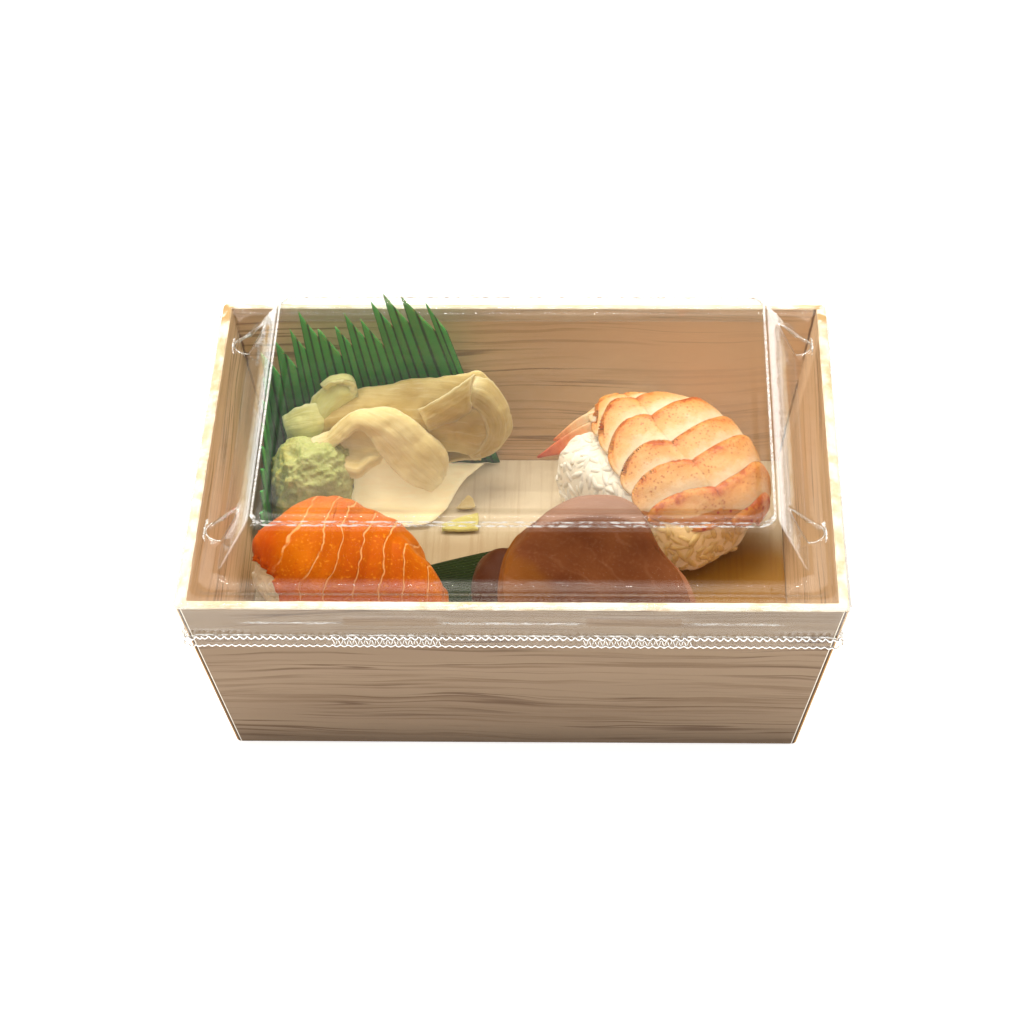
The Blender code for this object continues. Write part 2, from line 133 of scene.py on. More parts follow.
def make_piece(name, points, faces, finish, fields=None, smooth=True, finish_of=None):
    """An object at the origin from points in millimetres, its faces turned outwards."""
    mesh = bpy.data.meshes.new(name)
    mesh.from_pydata((np.asarray(points, dtype=float) * MM).tolist(), [], faces)
    for finished in finish if isinstance(finish, (list, tuple)) else [finish]:
        mesh.materials.append(finished)
    if finish_of is not None:
        mesh.polygons.foreach_set("material_index", finish_of)
    for label, values in (fields or {}).items():
        held = mesh.attributes.new(label, "FLOAT", "POINT")
        held.data.foreach_set("value", np.asarray(values, dtype=np.float32).ravel())
    shape = bmesh.new()
    shape.from_mesh(mesh)
    bmesh.ops.recalc_face_normals(shape, faces=shape.faces)
    shape.to_mesh(mesh)
    shape.free()
    if smooth:
        mesh.shade_smooth()
    piece = bpy.data.objects.new(name, mesh)
    bpy.context.scene.collection.objects.link(piece)
    return piece


def settle(piece, slot, *nodes):
    """Rides on the one body and stands for CAD nodes; its slot is not used."""
    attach(piece, "root")
    if nodes:
        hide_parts(*nodes)
    return piece


def applied(piece):
    """Turns a piece's modifiers into plain mesh."""
    graph = bpy.context.evaluated_depsgraph_get()
    mesh = bpy.data.meshes.new_from_object(piece.evaluated_get(graph))
    piece.modifiers.clear()
    piece.data = mesh
    return piece


def slab(middle, thickness):
    """Points and faces of a closed sheet round a grid of points: its edge is one line.

    Also gives the index of the grid point that each point belongs to.
    """
    rows, columns = thickness.shape
    lift = normals(middle) * thickness[..., None] / 2
    inner = np.zeros((rows, columns), dtype=bool)
    inner[1:-1, 1:-1] = True
    upper = middle + lift * inner[..., None]
    lower = (middle - lift)[inner]
    first = np.arange(rows * columns).reshape(rows, columns)
    second = first.copy()
    second[inner] = rows * columns + np.arange(inner.sum())
    faces = []
    for sheet, flip in ((first, False), (second, True)):
        quads = np.stack([sheet[:-1, :-1], sheet[:-1, 1:], sheet[1:, 1:], sheet[1:, :-1]], axis=-1)
        if flip:
            quads = quads[..., ::-1]
        faces += quads.reshape(-1, 4).tolist()
    points = np.concatenate([upper.reshape(-1, 3), lower])
    source = np.concatenate([np.arange(rows * columns), first[inner]])
    return points, faces, source


def edge_round(share, edge):
    """How full a slice is at a share of its length: it rounds off within edge of each end."""
    depth = np.clip(np.minimum(share, 1 - share) / edge, 0.0, 1.0)
    return np.sqrt(1 - (1 - depth) ** 2)


def make_slab(name, middle, thickness, finish, fields=None):
    """A piece of sheet from a grid of points, with its fields of numbers."""
    points, faces, source = slab(middle, thickness)
    held = {label: np.asarray(values).ravel()[source] for label, values in (fields or {}).items()}
    return make_piece(name, points, faces, finish, held)


def ring_faces(rings, count, closed=True):
    """Quads between rings of count points, that follow each other."""
    faces = []
    for k in range(rings if closed else rings - 1):
        first, second = k * count, ((k + 1) % rings) * count
        for i in range(count):
            j = (i + 1) % count
            faces.append((first + i, first + j, second + j, second + i))
    return faces


# ------------------------------------------------------------------ finishes

def tone(red, green, blue):
    """A colour from 0 to 255 as a linear one."""
    linear = [(v / 255 / 12.92) if v < 10.3 else ((v / 255 + 0.055) / 1.055) ** 2.4
              for v in (red, green, blue)]
    return (*linear, 1.0)


class Finish:
    """A Principled material, built node by node."""

    def __init__(self, name, **fixed):
        self.made = bpy.data.materials.new(name)
        self.made.use_nodes = True
        self.made.cycles.emission_sampling = "NONE"
        self.tree = self.made.node_tree
        self.shader = self.tree.nodes["Principled BSDF"]
        for label, value in fixed.items():
            self.shader.inputs[label.replace("_", " ")].default_value = value

    def feed(self, socket, value):
        if isinstance(value, bpy.types.NodeSocket):
            self.tree.links.new(value, socket)
        else:
            socket.default_value = value

    def node(self, kind, inputs=None, **settings):
        made = self.tree.nodes.new("ShaderNode" + kind)
        for label, value in settings.items():
            setattr(made, label, value)
        for label, value in (inputs or {}).items():
            self.feed(made.inputs[label], value)
        return made

    def place(self, scale=(1.0, 1.0, 1.0), shift=(0.0, 0.0, 0.0), turn=(0.0, 0.0, 0.0)):
        """Object coordinates, in metres times scale."""
        where = self.node("TexCoord").outputs["Object"]
        mapped = self.node("Mapping", {"Vector": where, "Scale": scale, "Location": shift,
                                       "Rotation": turn})
        return mapped.outputs["Vector"]

    def axis(self, name):
        """One of the Object coordinates, X, Y or Z, in metres."""
        where = self.node("TexCoord").outputs["Object"]
        return self.node("SeparateXYZ", {"Vector": where}).outputs[name]

    def field(self, name):
        return self.node("Attribute", attribute_name=name).outputs["Fac"]

    def noise(self, where, scale, detail=2.0, roughness=0.5, distortion=0.0):
        made = self.node("TexNoise", {"Vector": where, "Scale": scale, "Detail": detail,
                                      "Roughness": roughness, "Distortion": distortion})
        return made.outputs["Fac"]

    def cells(self, where, scale, feature="F1"):
        made = self.node("TexVoronoi", {"Vector": where, "Scale": scale}, feature=feature)
        return made.outputs["Distance"]

    def sum(self, a, b, times=1.0):
        """a + b * times."""
        return self.node("Math", {0: b, 1: times, 2: a}, operation="MULTIPLY_ADD").outputs[0]

    def math(self, operation, a, b=0.0):
        return self.node("Math", {0: a, 1: b}, operation=operation).outputs[0]

    def between(self, value, low, high, start=0.0, end=1.0):
        """start below low, end above high, and a smooth change between them."""
        made = self.node("MapRange", {"Value": value, "From Min": low, "From Max": high,
                                      "To Min": start, "To Max": end},
                         interpolation_type="SMOOTHSTEP")
        return made.outputs["Result"]

    def ramp(self, value, *stops):
        """A colour for each value: stops are (place, colour)."""
        made = self.node("ValToRGB", {"Fac": value})
        ramp = made.color_ramp
        while len(ramp.elements) < len(stops):
            ramp.elements.new(0.5)
        for element, (place, colour) in zip(ramp.elements, stops):
            element.position = place
            element.color = colour
        return made.outputs["Color"]

    def blend(self, share, a, b, kind="MIX"):
        """Colour a turning into b as share goes from 0 to 1."""
        made = self.node("Mix", {0: share, 6: a, 7: b}, data_type="RGBA", blend_type=kind)
        return made.outputs[2]

    def colour(self, value):
        self.feed(self.shader.inputs["Base Color"], value)

    def relief(self, *layers):
        """Bumps on the surface: each layer is a height and how many metres it stands."""
        normal = None
        for height, distance in layers:
            inputs = {"Height": height, "Distance": distance, "Strength": 1.0}
            if normal is not None:
                inputs["Normal"] = normal
            normal = self.node("Bump", inputs).outputs["Normal"]
        self.feed(self.shader.inputs["Normal"], normal)


# ------------------------------------------------------------------ camera and light

def make_camera():
    data = bpy.data.cameras.new("camera")
    data.sensor_width = 36.0
    data.lens = 121.634
    data.clip_start = 0.01
    elevation, yaw, roll = math.radians(38.0), math.radians(2.2018), math.radians(-1.17161)
    away = Vector((math.sin(yaw) * math.cos(elevation), -math.cos(yaw) * math.cos(elevation),
                   math.sin(elevation)))
    side = (-away).cross(Vector((0, 0, 1))).normalized()
    rise = side.cross(-away)
    right = side * math.cos(roll) + rise * math.sin(roll)
    up = rise * math.cos(roll) - side * math.sin(roll)
    length = 2 * HALF_LENGTH * MM
    spot = (away * 5.52912 + right * -0.0118635 + up * 0.0259798) * length
    spot.z += RIM * MM / 2
    camera = bpy.data.objects.new("camera", data)
    camera.matrix_world = Matrix.Translation(spot) @ Matrix((right, up, away)).transposed().to_4x4()
    bpy.context.scene.collection.objects.link(camera)
    bpy.context.scene.camera = camera


def soft_light(name, spot, target, size, watts, glints=True):
    data = bpy.data.lights.new(name, "AREA")
    data.shape = "RECTANGLE"
    data.size, data.size_y = size
    data.energy = watts
    data.color = (1.0, 0.95, 0.88)
    lamp = bpy.data.objects.new(name, data)
    spot = Vector(spot)
    lamp.location = spot
    lamp.rotation_euler = (Vector(target) - spot).to_track_quat("-Z", "Y").to_euler()
    lamp.visible_glossy = glints
    bpy.context.scene.collection.objects.link(lamp)


def world_light():
    """A white room: a broad soft source high at the back, dimmer low down and in front."""
    world = bpy.data.worlds.new("white_room")
    bpy.context.scene.world = world
    world.use_nodes = True
    tree = world.node_tree
    shader = tree.nodes["Background"]

    def node(kind, inputs, **settings):
        return grow(tree, kind, inputs, "ShaderNode", **settings)

    where = node("TexCoord", {}).outputs["Generated"]
    parts = node("SeparateXYZ", {0: where}).outputs
    high = node("MapRange", {"Value": parts["Z"], "From Min": 0.57, "From Max": 0.66,
                             "To Min": 0.25, "To Max": 2.4}, interpolation_type="SMOOTHSTEP")
    back = node("MapRange", {"Value": parts["Y"], "From Min": -0.45, "From Max": 0.35,
                             "To Min": 0.0, "To Max": 1.0}, interpolation_type="SMOOTHSTEP")
    room = node("MapRange", {"Value": parts["Z"], "From Min": 0.3, "From Max": 0.7,
                             "To Min": 0.04, "To Max": 1.0})
    strength = node("Mix", {0: back.outputs[0], 2: room.outputs[0], 3: high.outputs[0]},
                    data_type="FLOAT")
    tree.links.new(strength.outputs[0], shader.inputs["Strength"])
    shader.inputs["Color"].default_value = (1.0, 0.93, 0.83, 1.0)


def make_surroundings():
    """Ground and lights, and how far light is followed."""
    world_light()
    corner = 3000
    ground = make_piece("ground", [(-corner, -corner, 0), (corner, -corner, 0),
                                   (corner, corner, 0), (-corner, corner, 0)],
                        [(0, 1, 2, 3)], ground_finish())
    soft_light("overhead", (-0.06, 0.20, 0.68), (0, 0, 0.03), (0.40, 0.26), 2.3, False)
    soft_light("tube_back", (0.0, 0.42, 0.72), (0, 0, 0.05), (0.80, 0.010), 1.6)
    soft_light("tube_side", (-0.62, 0.10, 0.66), (0, 0, 0.05), (0.010, 0.50), 0.8)
    scene = bpy.context.scene
    scene.view_settings.view_transform = "Standard"
    scene.cycles.use_denoising = True
    scene.cycles.max_bounces = 5
    scene.cycles.diffuse_bounces = 3
    scene.cycles.glossy_bounces = 2
    scene.cycles.transmission_bounces = 1
    scene.cycles.transparent_max_bounces = 16
    scene.cycles.caustics_reflective = False
    scene.cycles.caustics_refractive = False


def ground_finish():
    """A white light table, so that shadows on it stay faint."""
    finish = Finish("white_ground", Roughness=0.9, Specular_IOR_Level=0.1, Emission_Strength=0.72)
    finish.shader.inputs["Emission Color"].default_value = (0.96, 0.98, 1.0, 1.0)
    finish.colour(tone(240, 240, 242))
    return finish.made


# ------------------------------------------------------------------ tray

def grain_place(finish, stretch, fine, sway):
    """Places for a grain whose long wavy lines run level round the walls."""
    bend = finish.noise(finish.place((9.0, 9.0, 26.0)), 1.0, 3.0, 0.45)
    lift = finish.node("CombineXYZ", {"Z": finish.math("MULTIPLY", bend, sway)}).outputs[0]
    return finish.node("VectorMath", {0: finish.place((stretch, stretch, fine)), 1: lift},
                       operation="ADD").outputs[0]


def print_finish(name, pale, middle, dark, line, contrast=1.0):
    """Printed board: broad tones, fine grain lines and a few darker ones."""
    finish = Finish(name, Roughness=0.55, Specular_IOR_Level=0.3)
    broad = finish.noise(grain_place(finish, 5.0, 60.0, 1.0), 1.0, 3.0, 0.5)
    fine = finish.noise(grain_place(finish, 12.0, 620.0, 8.0), 1.0, 4.0, 0.65)
    base = finish.ramp(broad, (0.30, middle), (0.68, pale))
    base = finish.blend(finish.between(fine, 0.48, 0.64, 0.0, 0.6 * contrast), base, dark)
    marks = finish.noise(grain_place(finish, 6.0, 300.0, 5.0), 1.0, 2.0, 0.5)
    strong = finish.between(finish.math("ABSOLUTE", finish.sum(marks, -0.5)), 0.030, 0.004, 0.0,
                            0.75 * contrast)
    gate = finish.between(finish.noise(finish.place((14.0, 14.0, 90.0), (3.0, 1.0, 2.0)), 1.0,
                                       2.0, 0.5), 0.40, 0.58)
    base = finish.blend(finish.math("MULTIPLY", strong, gate), base, line)
    finish.relief((fine, 0.00003), (finish.noise(finish.place(), 900.0, 2.0), 0.00003))
    return finish, base


def outer_board_finish():
    finish, base = print_finish("wood_print_outer", tone(155, 132, 107), tone(138, 115, 91),
                                tone(116, 90, 64), tone(88, 60, 36))
    # Painted shade: the print turns darker towards the foot, standing in for the shadow where the
    # board meets the ground.
    foot = finish.between(finish.axis("Z"), 0.0, 0.011, 0.45, 1.0)
    base = finish.blend(foot, tone(84, 62, 36), base)
    # At each front corner: a painted highlight as a thin white line where the front face ends, then
    # the side's edge strip, dark brown on its inner side as painted shade and golden outside as the
    # board's cut edge.
    run = finish.field("corner_run")
    white = finish.math("MULTIPLY", finish.between(run, -0.36, -0.26),
                        finish.between(run, -0.02, -0.12))
    base = finish.blend(white, base, tone(250, 244, 232))
    brown = finish.ramp(finish.between(run, 0.0, 1.9, 0.0, 1.0), (0.0, tone(70, 44, 16)),
                        (0.16, tone(92, 60, 22)), (0.30, tone(196, 146, 66)),
                        (0.9, tone(212, 172, 104)))
    grit = finish.noise(finish.place((300.0, 300.0, 90.0)), 1.0, 3.0)
    brown = finish.blend(finish.between(grit, 0.45, 0.7, 0.0, 0.6), brown, tone(96, 62, 26))
    edge = finish.math("MULTIPLY", finish.between(run, -0.1, 0.05),
                       finish.between(run, 2.1, 1.8))
    finish.colour(finish.blend(edge, base, brown))
    return finish.made


def inner_board_finish():
    finish, base = print_finish("wood_print_inner", tone(226, 192, 149), tone(210, 174, 132),
                                tone(176, 138, 98), tone(124, 90, 60), 0.9)
    run = finish.field("corner_run")
    grit = finish.noise(finish.place((260.0, 260.0, 320.0)), 1.0, 4.0, 0.7)
    away = finish.math("ABSOLUTE", finish.sum(run, finish.math("SUBTRACT", grit, 0.5), 1.5))
    seam = finish.math("MULTIPLY", finish.between(away, 0.5, 0.2, 0.0, 0.75),
                       finish.between(finish.noise(finish.place(), 60.0, 1.0), 0.40, 0.50))
    # Painted light: the back wall is painted paler towards its right, where light falls on it.
    lit = finish.math("MULTIPLY", finish.between(finish.axis("X"), 0.0, 0.06, 0.0, 0.5),
                      finish.between(finish.axis("Y"), 0.05, 0.055))
    base = finish.blend(lit, base, tone(250, 220, 184))
    finish.colour(finish.blend(seam, base, tone(96, 62, 42)))
    return finish.made


def rim_finish():
    """The board's cut edge: cream paper with worn ochre patches, browner at the back corners."""
    finish = Finish("board_edge", Roughness=0.75, Specular_IOR_Level=0.2)
    where = finish.place((60.0, 60.0, 60.0))
    patches = finish.noise(where, 1.0, 4.0, 0.65)
    fibre = finish.noise(finish.place((160.0, 160.0, 900.0)), 1.0, 3.0)
    base = finish.ramp(fibre, (0.34, tone(222, 202, 168)), (0.56, tone(250, 240, 222)))
    worn = finish.between(patches, 0.54, 0.64, 0.0, 0.6)
    base = finish.blend(worn, base, tone(214, 178, 124))
    corner = finish.math("MULTIPLY",
                         finish.between(finish.math("ABSOLUTE", finish.axis("X")), 0.0852, 0.0880),
                         finish.between(finish.axis("Y"), 0.0585, 0.0640))
    chip = finish.math("MULTIPLY", corner,
                       finish.between(finish.noise(where, 5.0, 3.0), 0.40, 0.52))
    base = finish.blend(chip, base, tone(200, 162, 108))
    finish.colour(base)
    finish.relief((fibre, 0.0001))
    return finish.made


def board_ring(half_x, half_y, cut, height):
    """One loop round the tray, with the distance along it from each corner's front side."""
    share = spread(7)
    points, run = [], []
    arc = cut * 1.5
    for sx, sy in ((1, -1), (1, 1), (-1, 1), (-1, -1)):
        bend = np.radians(90 * share)
        x = half_x - cut + cut * np.sin(bend)
        y = half_y - cut + cut * np.cos(bend)
        corner = np.stack([sx * x, sy * y, x * 0 + height], axis=-1)
        along = arc * share
        straight_y = np.linspace(0.0, 1.0, 32)[1:-1]
        straight_x = np.linspace(0.0, 1.0, 42)[1:-1]
        near = np.array([0.15, 0.3, 0.5, 0.8, 1.4, 3.0])
        to_x = half_x - cut - np.concatenate([near, 3.0 + (half_x - cut - 3.0) * straight_x])
        to_y = half_y - cut - np.concatenate([near, 3.0 + (half_y - cut - 3.0) * straight_y])
        flat_x = np.stack([sx * to_x, to_x * 0 + sy * half_y, to_x * 0 + height], axis=-1)
        flat_y = np.stack([to_y * 0 + sx * half_x, sy * to_y, to_y * 0 + height], axis=-1)
        away = np.concatenate([near, straight_x * 0 + 3.0])
        away_y = np.concatenate([near, straight_y * 0 + 3.0])
        part = np.concatenate([flat_x[::-1], corner, flat_y])
        part_run = np.concatenate([-away[::-1], along, arc + away_y])
        if sx * sy > 0:
            part, part_run = part[::-1], part_run[::-1]
        points.append(part)
        run.append(part_run)
    return np.concatenate(points), np.concatenate(run)


def make_walls():
    """The four walls as one ring of board, with a slightly ragged rim."""
    angle = math.atan(LEAN)
    rim_run, rim_drop = BOARD * math.cos(angle), BOARD * math.sin(angle)
    inner_x, inner_y = HALF_LENGTH - rim_run, HALF_WIDTH - rim_run
    foot_run = LEAN * RIM

    def outside(height):
        inward = LEAN * (RIM - rim_drop - height)
        return HALF_LENGTH - inward, HALF_WIDTH - inward

    def inside(height):
        inward = LEAN * (RIM - height)
        return inner_x - inward, inner_y - inward

    foot = outside(0.5)
    rows = [(foot[0] - 0.4, foot[1] - 0.4, 1.0, 0.0, 0.0), (*foot, 1.2, 0.5, 0.0)]
    rows += [(*outside(height), 1.2, height, 0.0) for height in (8, 20, 32, 44, 52)]
    rows.append((*outside(RIM - rim_drop - 0.4), 1.2, RIM - rim_drop - 0.4, 0.12))
    rows.append((HALF_LENGTH - 0.25, HALF_WIDTH - 0.25, 1.1, RIM - rim_drop + 0.02, 0.2))
    rows.append((HALF_LENGTH - 1.1, HALF_WIDTH - 1.1, 0.8, RIM - 0.33, 0.12))
    rows.append((inner_x + 0.35, inner_y + 0.35, 0.4, RIM - 0.06, 0.14))
    rows.append((*inside(RIM - 0.35), 0.3, RIM - 0.35, 0.1))
    rows += [(*inside(height), 0.3, height, 0.0) for height in (50, 40, 30, 20, 10, 0.3)]
    rows.append((inner_x - foot_run + 0.2, inner_y - foot_run + 0.2, 0.3, 0.0, 0.0))
    loops, runs = [], []
    for half_x, half_y, cut, height, ragged in rows:
        loop, run = board_ring(half_x, half_y, cut, height)
        if ragged:
            rough = lumps(loop, 2.6, height, 3)
            loop[:, 2] += ragged * rough
            loop[:, :2] *= 1 + (ragged * lumps(loop, 3.4, height + 9, 3) / 90)[:, None]
        loops.append(loop)
        runs.append(run)
    count = len(loops[0])
    faces = ring_faces(len(rows), count)
    outer_end, rim_end = 7, 11
    finish_of = []
    for k in range(len(rows)):
        kind = 0 if k < outer_end else (1 if k < rim_end else 2)
        finish_of += [kind] * count
    piece = make_piece("board_walls", np.concatenate(loops), faces,
                       [outer_board_finish(), rim_finish(), inner_board_finish()],
                       {"corner_run": np.concatenate(runs)}, smooth=False, finish_of=finish_of)
    settle(piece, "wood_print_board", "tray_walls")


def finish_floor():
    """The floor board keeps its shape and gets a pale print whose grain runs front to back."""
    finish = Finish("pale_wood_print", Roughness=0.5, Specular_IOR_Level=0.35)
    sway = finish.noise(finish.place((30.0, 16.0, 1.0)), 1.0, 2.0)
    fine = finish.noise(finish.place((620.0, 14.0, 10.0)), 1.0, 4.0, 0.65)
    weave = finish.noise(finish.place((300.0, 260.0, 1.0)), 1.0, 2.0)
    base = finish.ramp(sway, (0.3, tone(208, 190, 158)), (0.7, tone(220, 204, 174)))
    base = finish.blend(finish.between(fine, 0.48, 0.66, 0.0, 0.5), base, tone(192, 168, 132))
    base = finish.blend(finish.between(weave, 0.5, 0.7, 0.0, 0.25), base, tone(204, 184, 152))
    # Painted shadow: a golden-brown shade on the floor at the front right, beside the tuna and the
    # shrimp's rice.
    corner = finish.math("MULTIPLY", finish.between(finish.axis("X"), 0.034, 0.048),
                         finish.between(finish.axis("Y"), 0.024, 0.010))
    base = finish.blend(corner, base, tone(228, 186, 60), "MULTIPLY")
    # Painted shade: the front part of the floor is darker, as if shaded by the front wall.
    front = finish.between(finish.axis("Y"), 0.032, 0.014)
    base = finish.blend(front, base, tone(200, 188, 172), "MULTIPLY")
    finish.colour(base)
    finish.relief((fine, 0.00004))
    floor = bpy.data.objects["tray_floor"]
    floor.data.materials.clear()
    floor.data.materials.append(finish.made)


# ------------------------------------------------------------------ lid

LID_WALL = 0.25
LUG_RADIUS, LUG_TIP, LUG_ROUND = 4.6, 8.0, 0.6
LUG_PLACES = (49.0, -39.0)
SLOPE_HEAD = (71.6, 55.0, 4.2, 13.2)
SLOPE_FOOT = (80.0, 61.2, 4.5, 0.2)
HEM_HEAD, HEM_FOOT = -11.9, -14.9


def clear_finish(name, haze=0.0, ripple=0.000014):
    """Thin clear plastic: light goes straight through and glances off it, most at its edges, with
    painted white highlights along its bends.
    """
    finish = Finish(name, Roughness=0.025, Metallic=0.95)
    finish.colour((1.0, 1.0, 1.0, 1.0))
    slow = finish.noise(finish.place((90.0, 90.0, 90.0)), 1.0, 2.0)
    quick = finish.noise(finish.place((330.0, 330.0, 330.0)), 1.0, 2.0)
    finish.relief((slow, ripple * 3), (quick, ripple))
    bent = finish.shader.inputs["Normal"].links[0].from_socket
    facing = finish.node("LayerWeight", {"Blend": 0.5, "Normal": bent}).outputs["Facing"]
    glance = finish.sum(0.025 + haze, finish.math("POWER", facing, 4.0), 0.8)
    # Painted highlights: along the lid's sharp bends the plastic turns white and mostly matte,
    # broken into dots by noise, standing in for glints of the lamps.
    bend = finish.between(finish.field("bend"), 0.50, 1.05)
    spark = finish.between(finish.noise(finish.place((1.0, 2.5, 2.5)), 520.0, 2.0, 0.6), 0.50,
                           0.58, 0.12, 0.9)
    glance = finish.sum(glance, bend, spark)
    finish.feed(finish.shader.inputs["Metallic"], finish.between(bend, 0.0, 0.5, 0.95, 0.2))
    path = finish.node("LightPath").outputs
    lit = finish.math("MAXIMUM", path["Is Shadow Ray"], path["Is Diffuse Ray"])
    share = finish.node("Mix", {0: lit, 2: glance, 3: 0.02}, data_type="FLOAT").outputs[0]
    open_air = finish.node("BsdfTransparent", {"Color": (0.985, 0.99, 0.985, 1.0)})
    mixed = finish.node("MixShader", {0: share, 1: open_air.outputs[0],
                                      2: finish.shader.outputs[0]})
    finish.feed(finish.tree.nodes["Material Output"].inputs["Surface"], mixed.outputs[0])
    return finish.made


def rounded_path(corners, radii, step):
    """Rows along a profile of (half length, half width, cut, height), its corners rounded."""
    corners = [np.array(corner, dtype=float) for corner in corners]
    rows = [corners[0]]
    for k in range(1, len(corners)):
        here = corners[k]
        start, bend = here, []
        if k < len(corners) - 1:
            before, after = corners[k - 1] - here, corners[k + 1] - here
            reach_in, reach_out = np.linalg.norm(before[[0, 3]]), np.linalg.norm(after[[0, 3]])
            radius = min(radii[k], 0.48 * reach_in, 0.48 * reach_out)
            start = here + before * radius / reach_in
            end = here + after * radius / reach_out
            bend = [(1 - t) ** 2 * start + 2 * t * (1 - t) * here + t * t * end
                    for t in (0.25, 0.5, 0.75, 1.0)]
        gap = np.linalg.norm((start - rows[-1])[[0, 3]])
        parts = max(1, int(round(gap / step)))
        anchor = rows[-1]
        rows += [mix(anchor, start, n / parts) for n in range(1, parts + 1)]
        rows += bend
    return np.array(rows)


PLATEAU = 15.3


def lid_columns():
    """Where the lid's columns stand along its long and short sides, from -1 to 1."""
    long_side = np.linspace(-1.0, 1.0, 74)[1:-1]
    reach = 55.0
    places = list(np.arange(-54.0, 54.1, 2.2))
    for lug in LUG_PLACES:
        places = [y for y in places if abs(y - lug) > 5.4]
        places += list(lug + np.arange(-5.2, 5.21, 0.52))
    places = np.array(sorted(place for place in places if abs(place) < 54.6))
    return long_side, places / reach


# The skirt's step, by height under the rim: lower near the corners than between them
STEP_AT_CORNER, STEP_BETWEEN, STEP_DEPTH = -9.4, -6.1, 0.55
CORNER_ON_LONG_SIDE, CORNER_ON_SHORT_SIDE = 72.0, 56.0
# The two tabs on each long side, from left to right
TABS = ((-47.0, -18.0), (18.5, 47.5))
TAB_DEPTH = 0.6


def skirt_relief(along, rise, on_long_side):
    """How far the skirt stands in: a step under its top band, and two tabs on a long side."""
    corner = CORNER_ON_LONG_SIDE if on_long_side else CORNER_ON_SHORT_SIDE
    line = np.where(np.abs(along) > corner, STEP_AT_CORNER, STEP_BETWEEN)
    depth = STEP_DEPTH * ease(rise, line + 0.5, line - 0.5)
    if on_long_side:
        for left, right in TABS:
            inside = ease(along, left - 0.4, left + 1.6) * ease(along, right + 0.4, right - 1.6)
            inside = inside * ease(rise, -10.8, -9.8)
            tab = TAB_DEPTH * ease(rise, -3.4, -4.3) * ease(rise, -9.4, -8.6)
            depth = mix(depth, tab, inside)
    return depth


def lid_loop(row, columns, in_lug=True, within=0.0):
    """One loop of the lid at a height above the rim, bulged where the stacking lugs are."""
    half_x, half_y, cut, rise = row
    foot = SLOPE_FOOT[3]
    sides = (((1, 0), (0, -1), half_x, half_y, columns[0]),
             ((0, 1), (1, 0), half_y, half_x, columns[1]),
             ((-1, 0), (0, 1), half_x, half_y, columns[0]),
             ((0, -1), (-1, 0), half_y, half_x, columns[1]))
    points = []
    for along, out, half_along, half_out, shares in sides:
        run = shares * (half_along - cut)
        reach = run * 0.0
        on_short = out[0] != 0
        if on_short and in_lug and foot - 0.6 <= rise < LUG_TIP:
            up = (LUG_TIP - max(rise, foot)) / (LUG_TIP - foot)
            radius = LUG_RADIUS * up ** LUG_ROUND - within
            left = np.clip((SLOPE_FOOT[0] + LUG_RADIUS + 0.6 - half_x) / LUG_RADIUS, 0.0, 1.0)
            if rise > 0.8:
                left = 1.0
            for lug in LUG_PLACES:
                away = np.minimum(np.abs(run * along[1] - lug) / max(radius, 0.01), 1.0)
                reach = reach + left * max(radius, 0.0) * np.sqrt(1 - away ** 2)
        if rise < -0.6:
            reach = reach - skirt_relief(run * (along[0] + along[1]), rise, not on_short)
        share = np.linspace(0.0, 1.0, 7)
        bulge = 0.14 * cut * np.sin(math.pi * share)
        run = np.concatenate([run, half_along - cut + cut * share + bulge])
        stand = np.concatenate([half_out + reach, half_out - cut * share + bulge])
        points.append(np.stack([run * along[0] + stand * out[0], run * along[1] + stand * out[1],
                                run * 0 + RIM + rise], axis=-1))
    return np.concatenate(points)


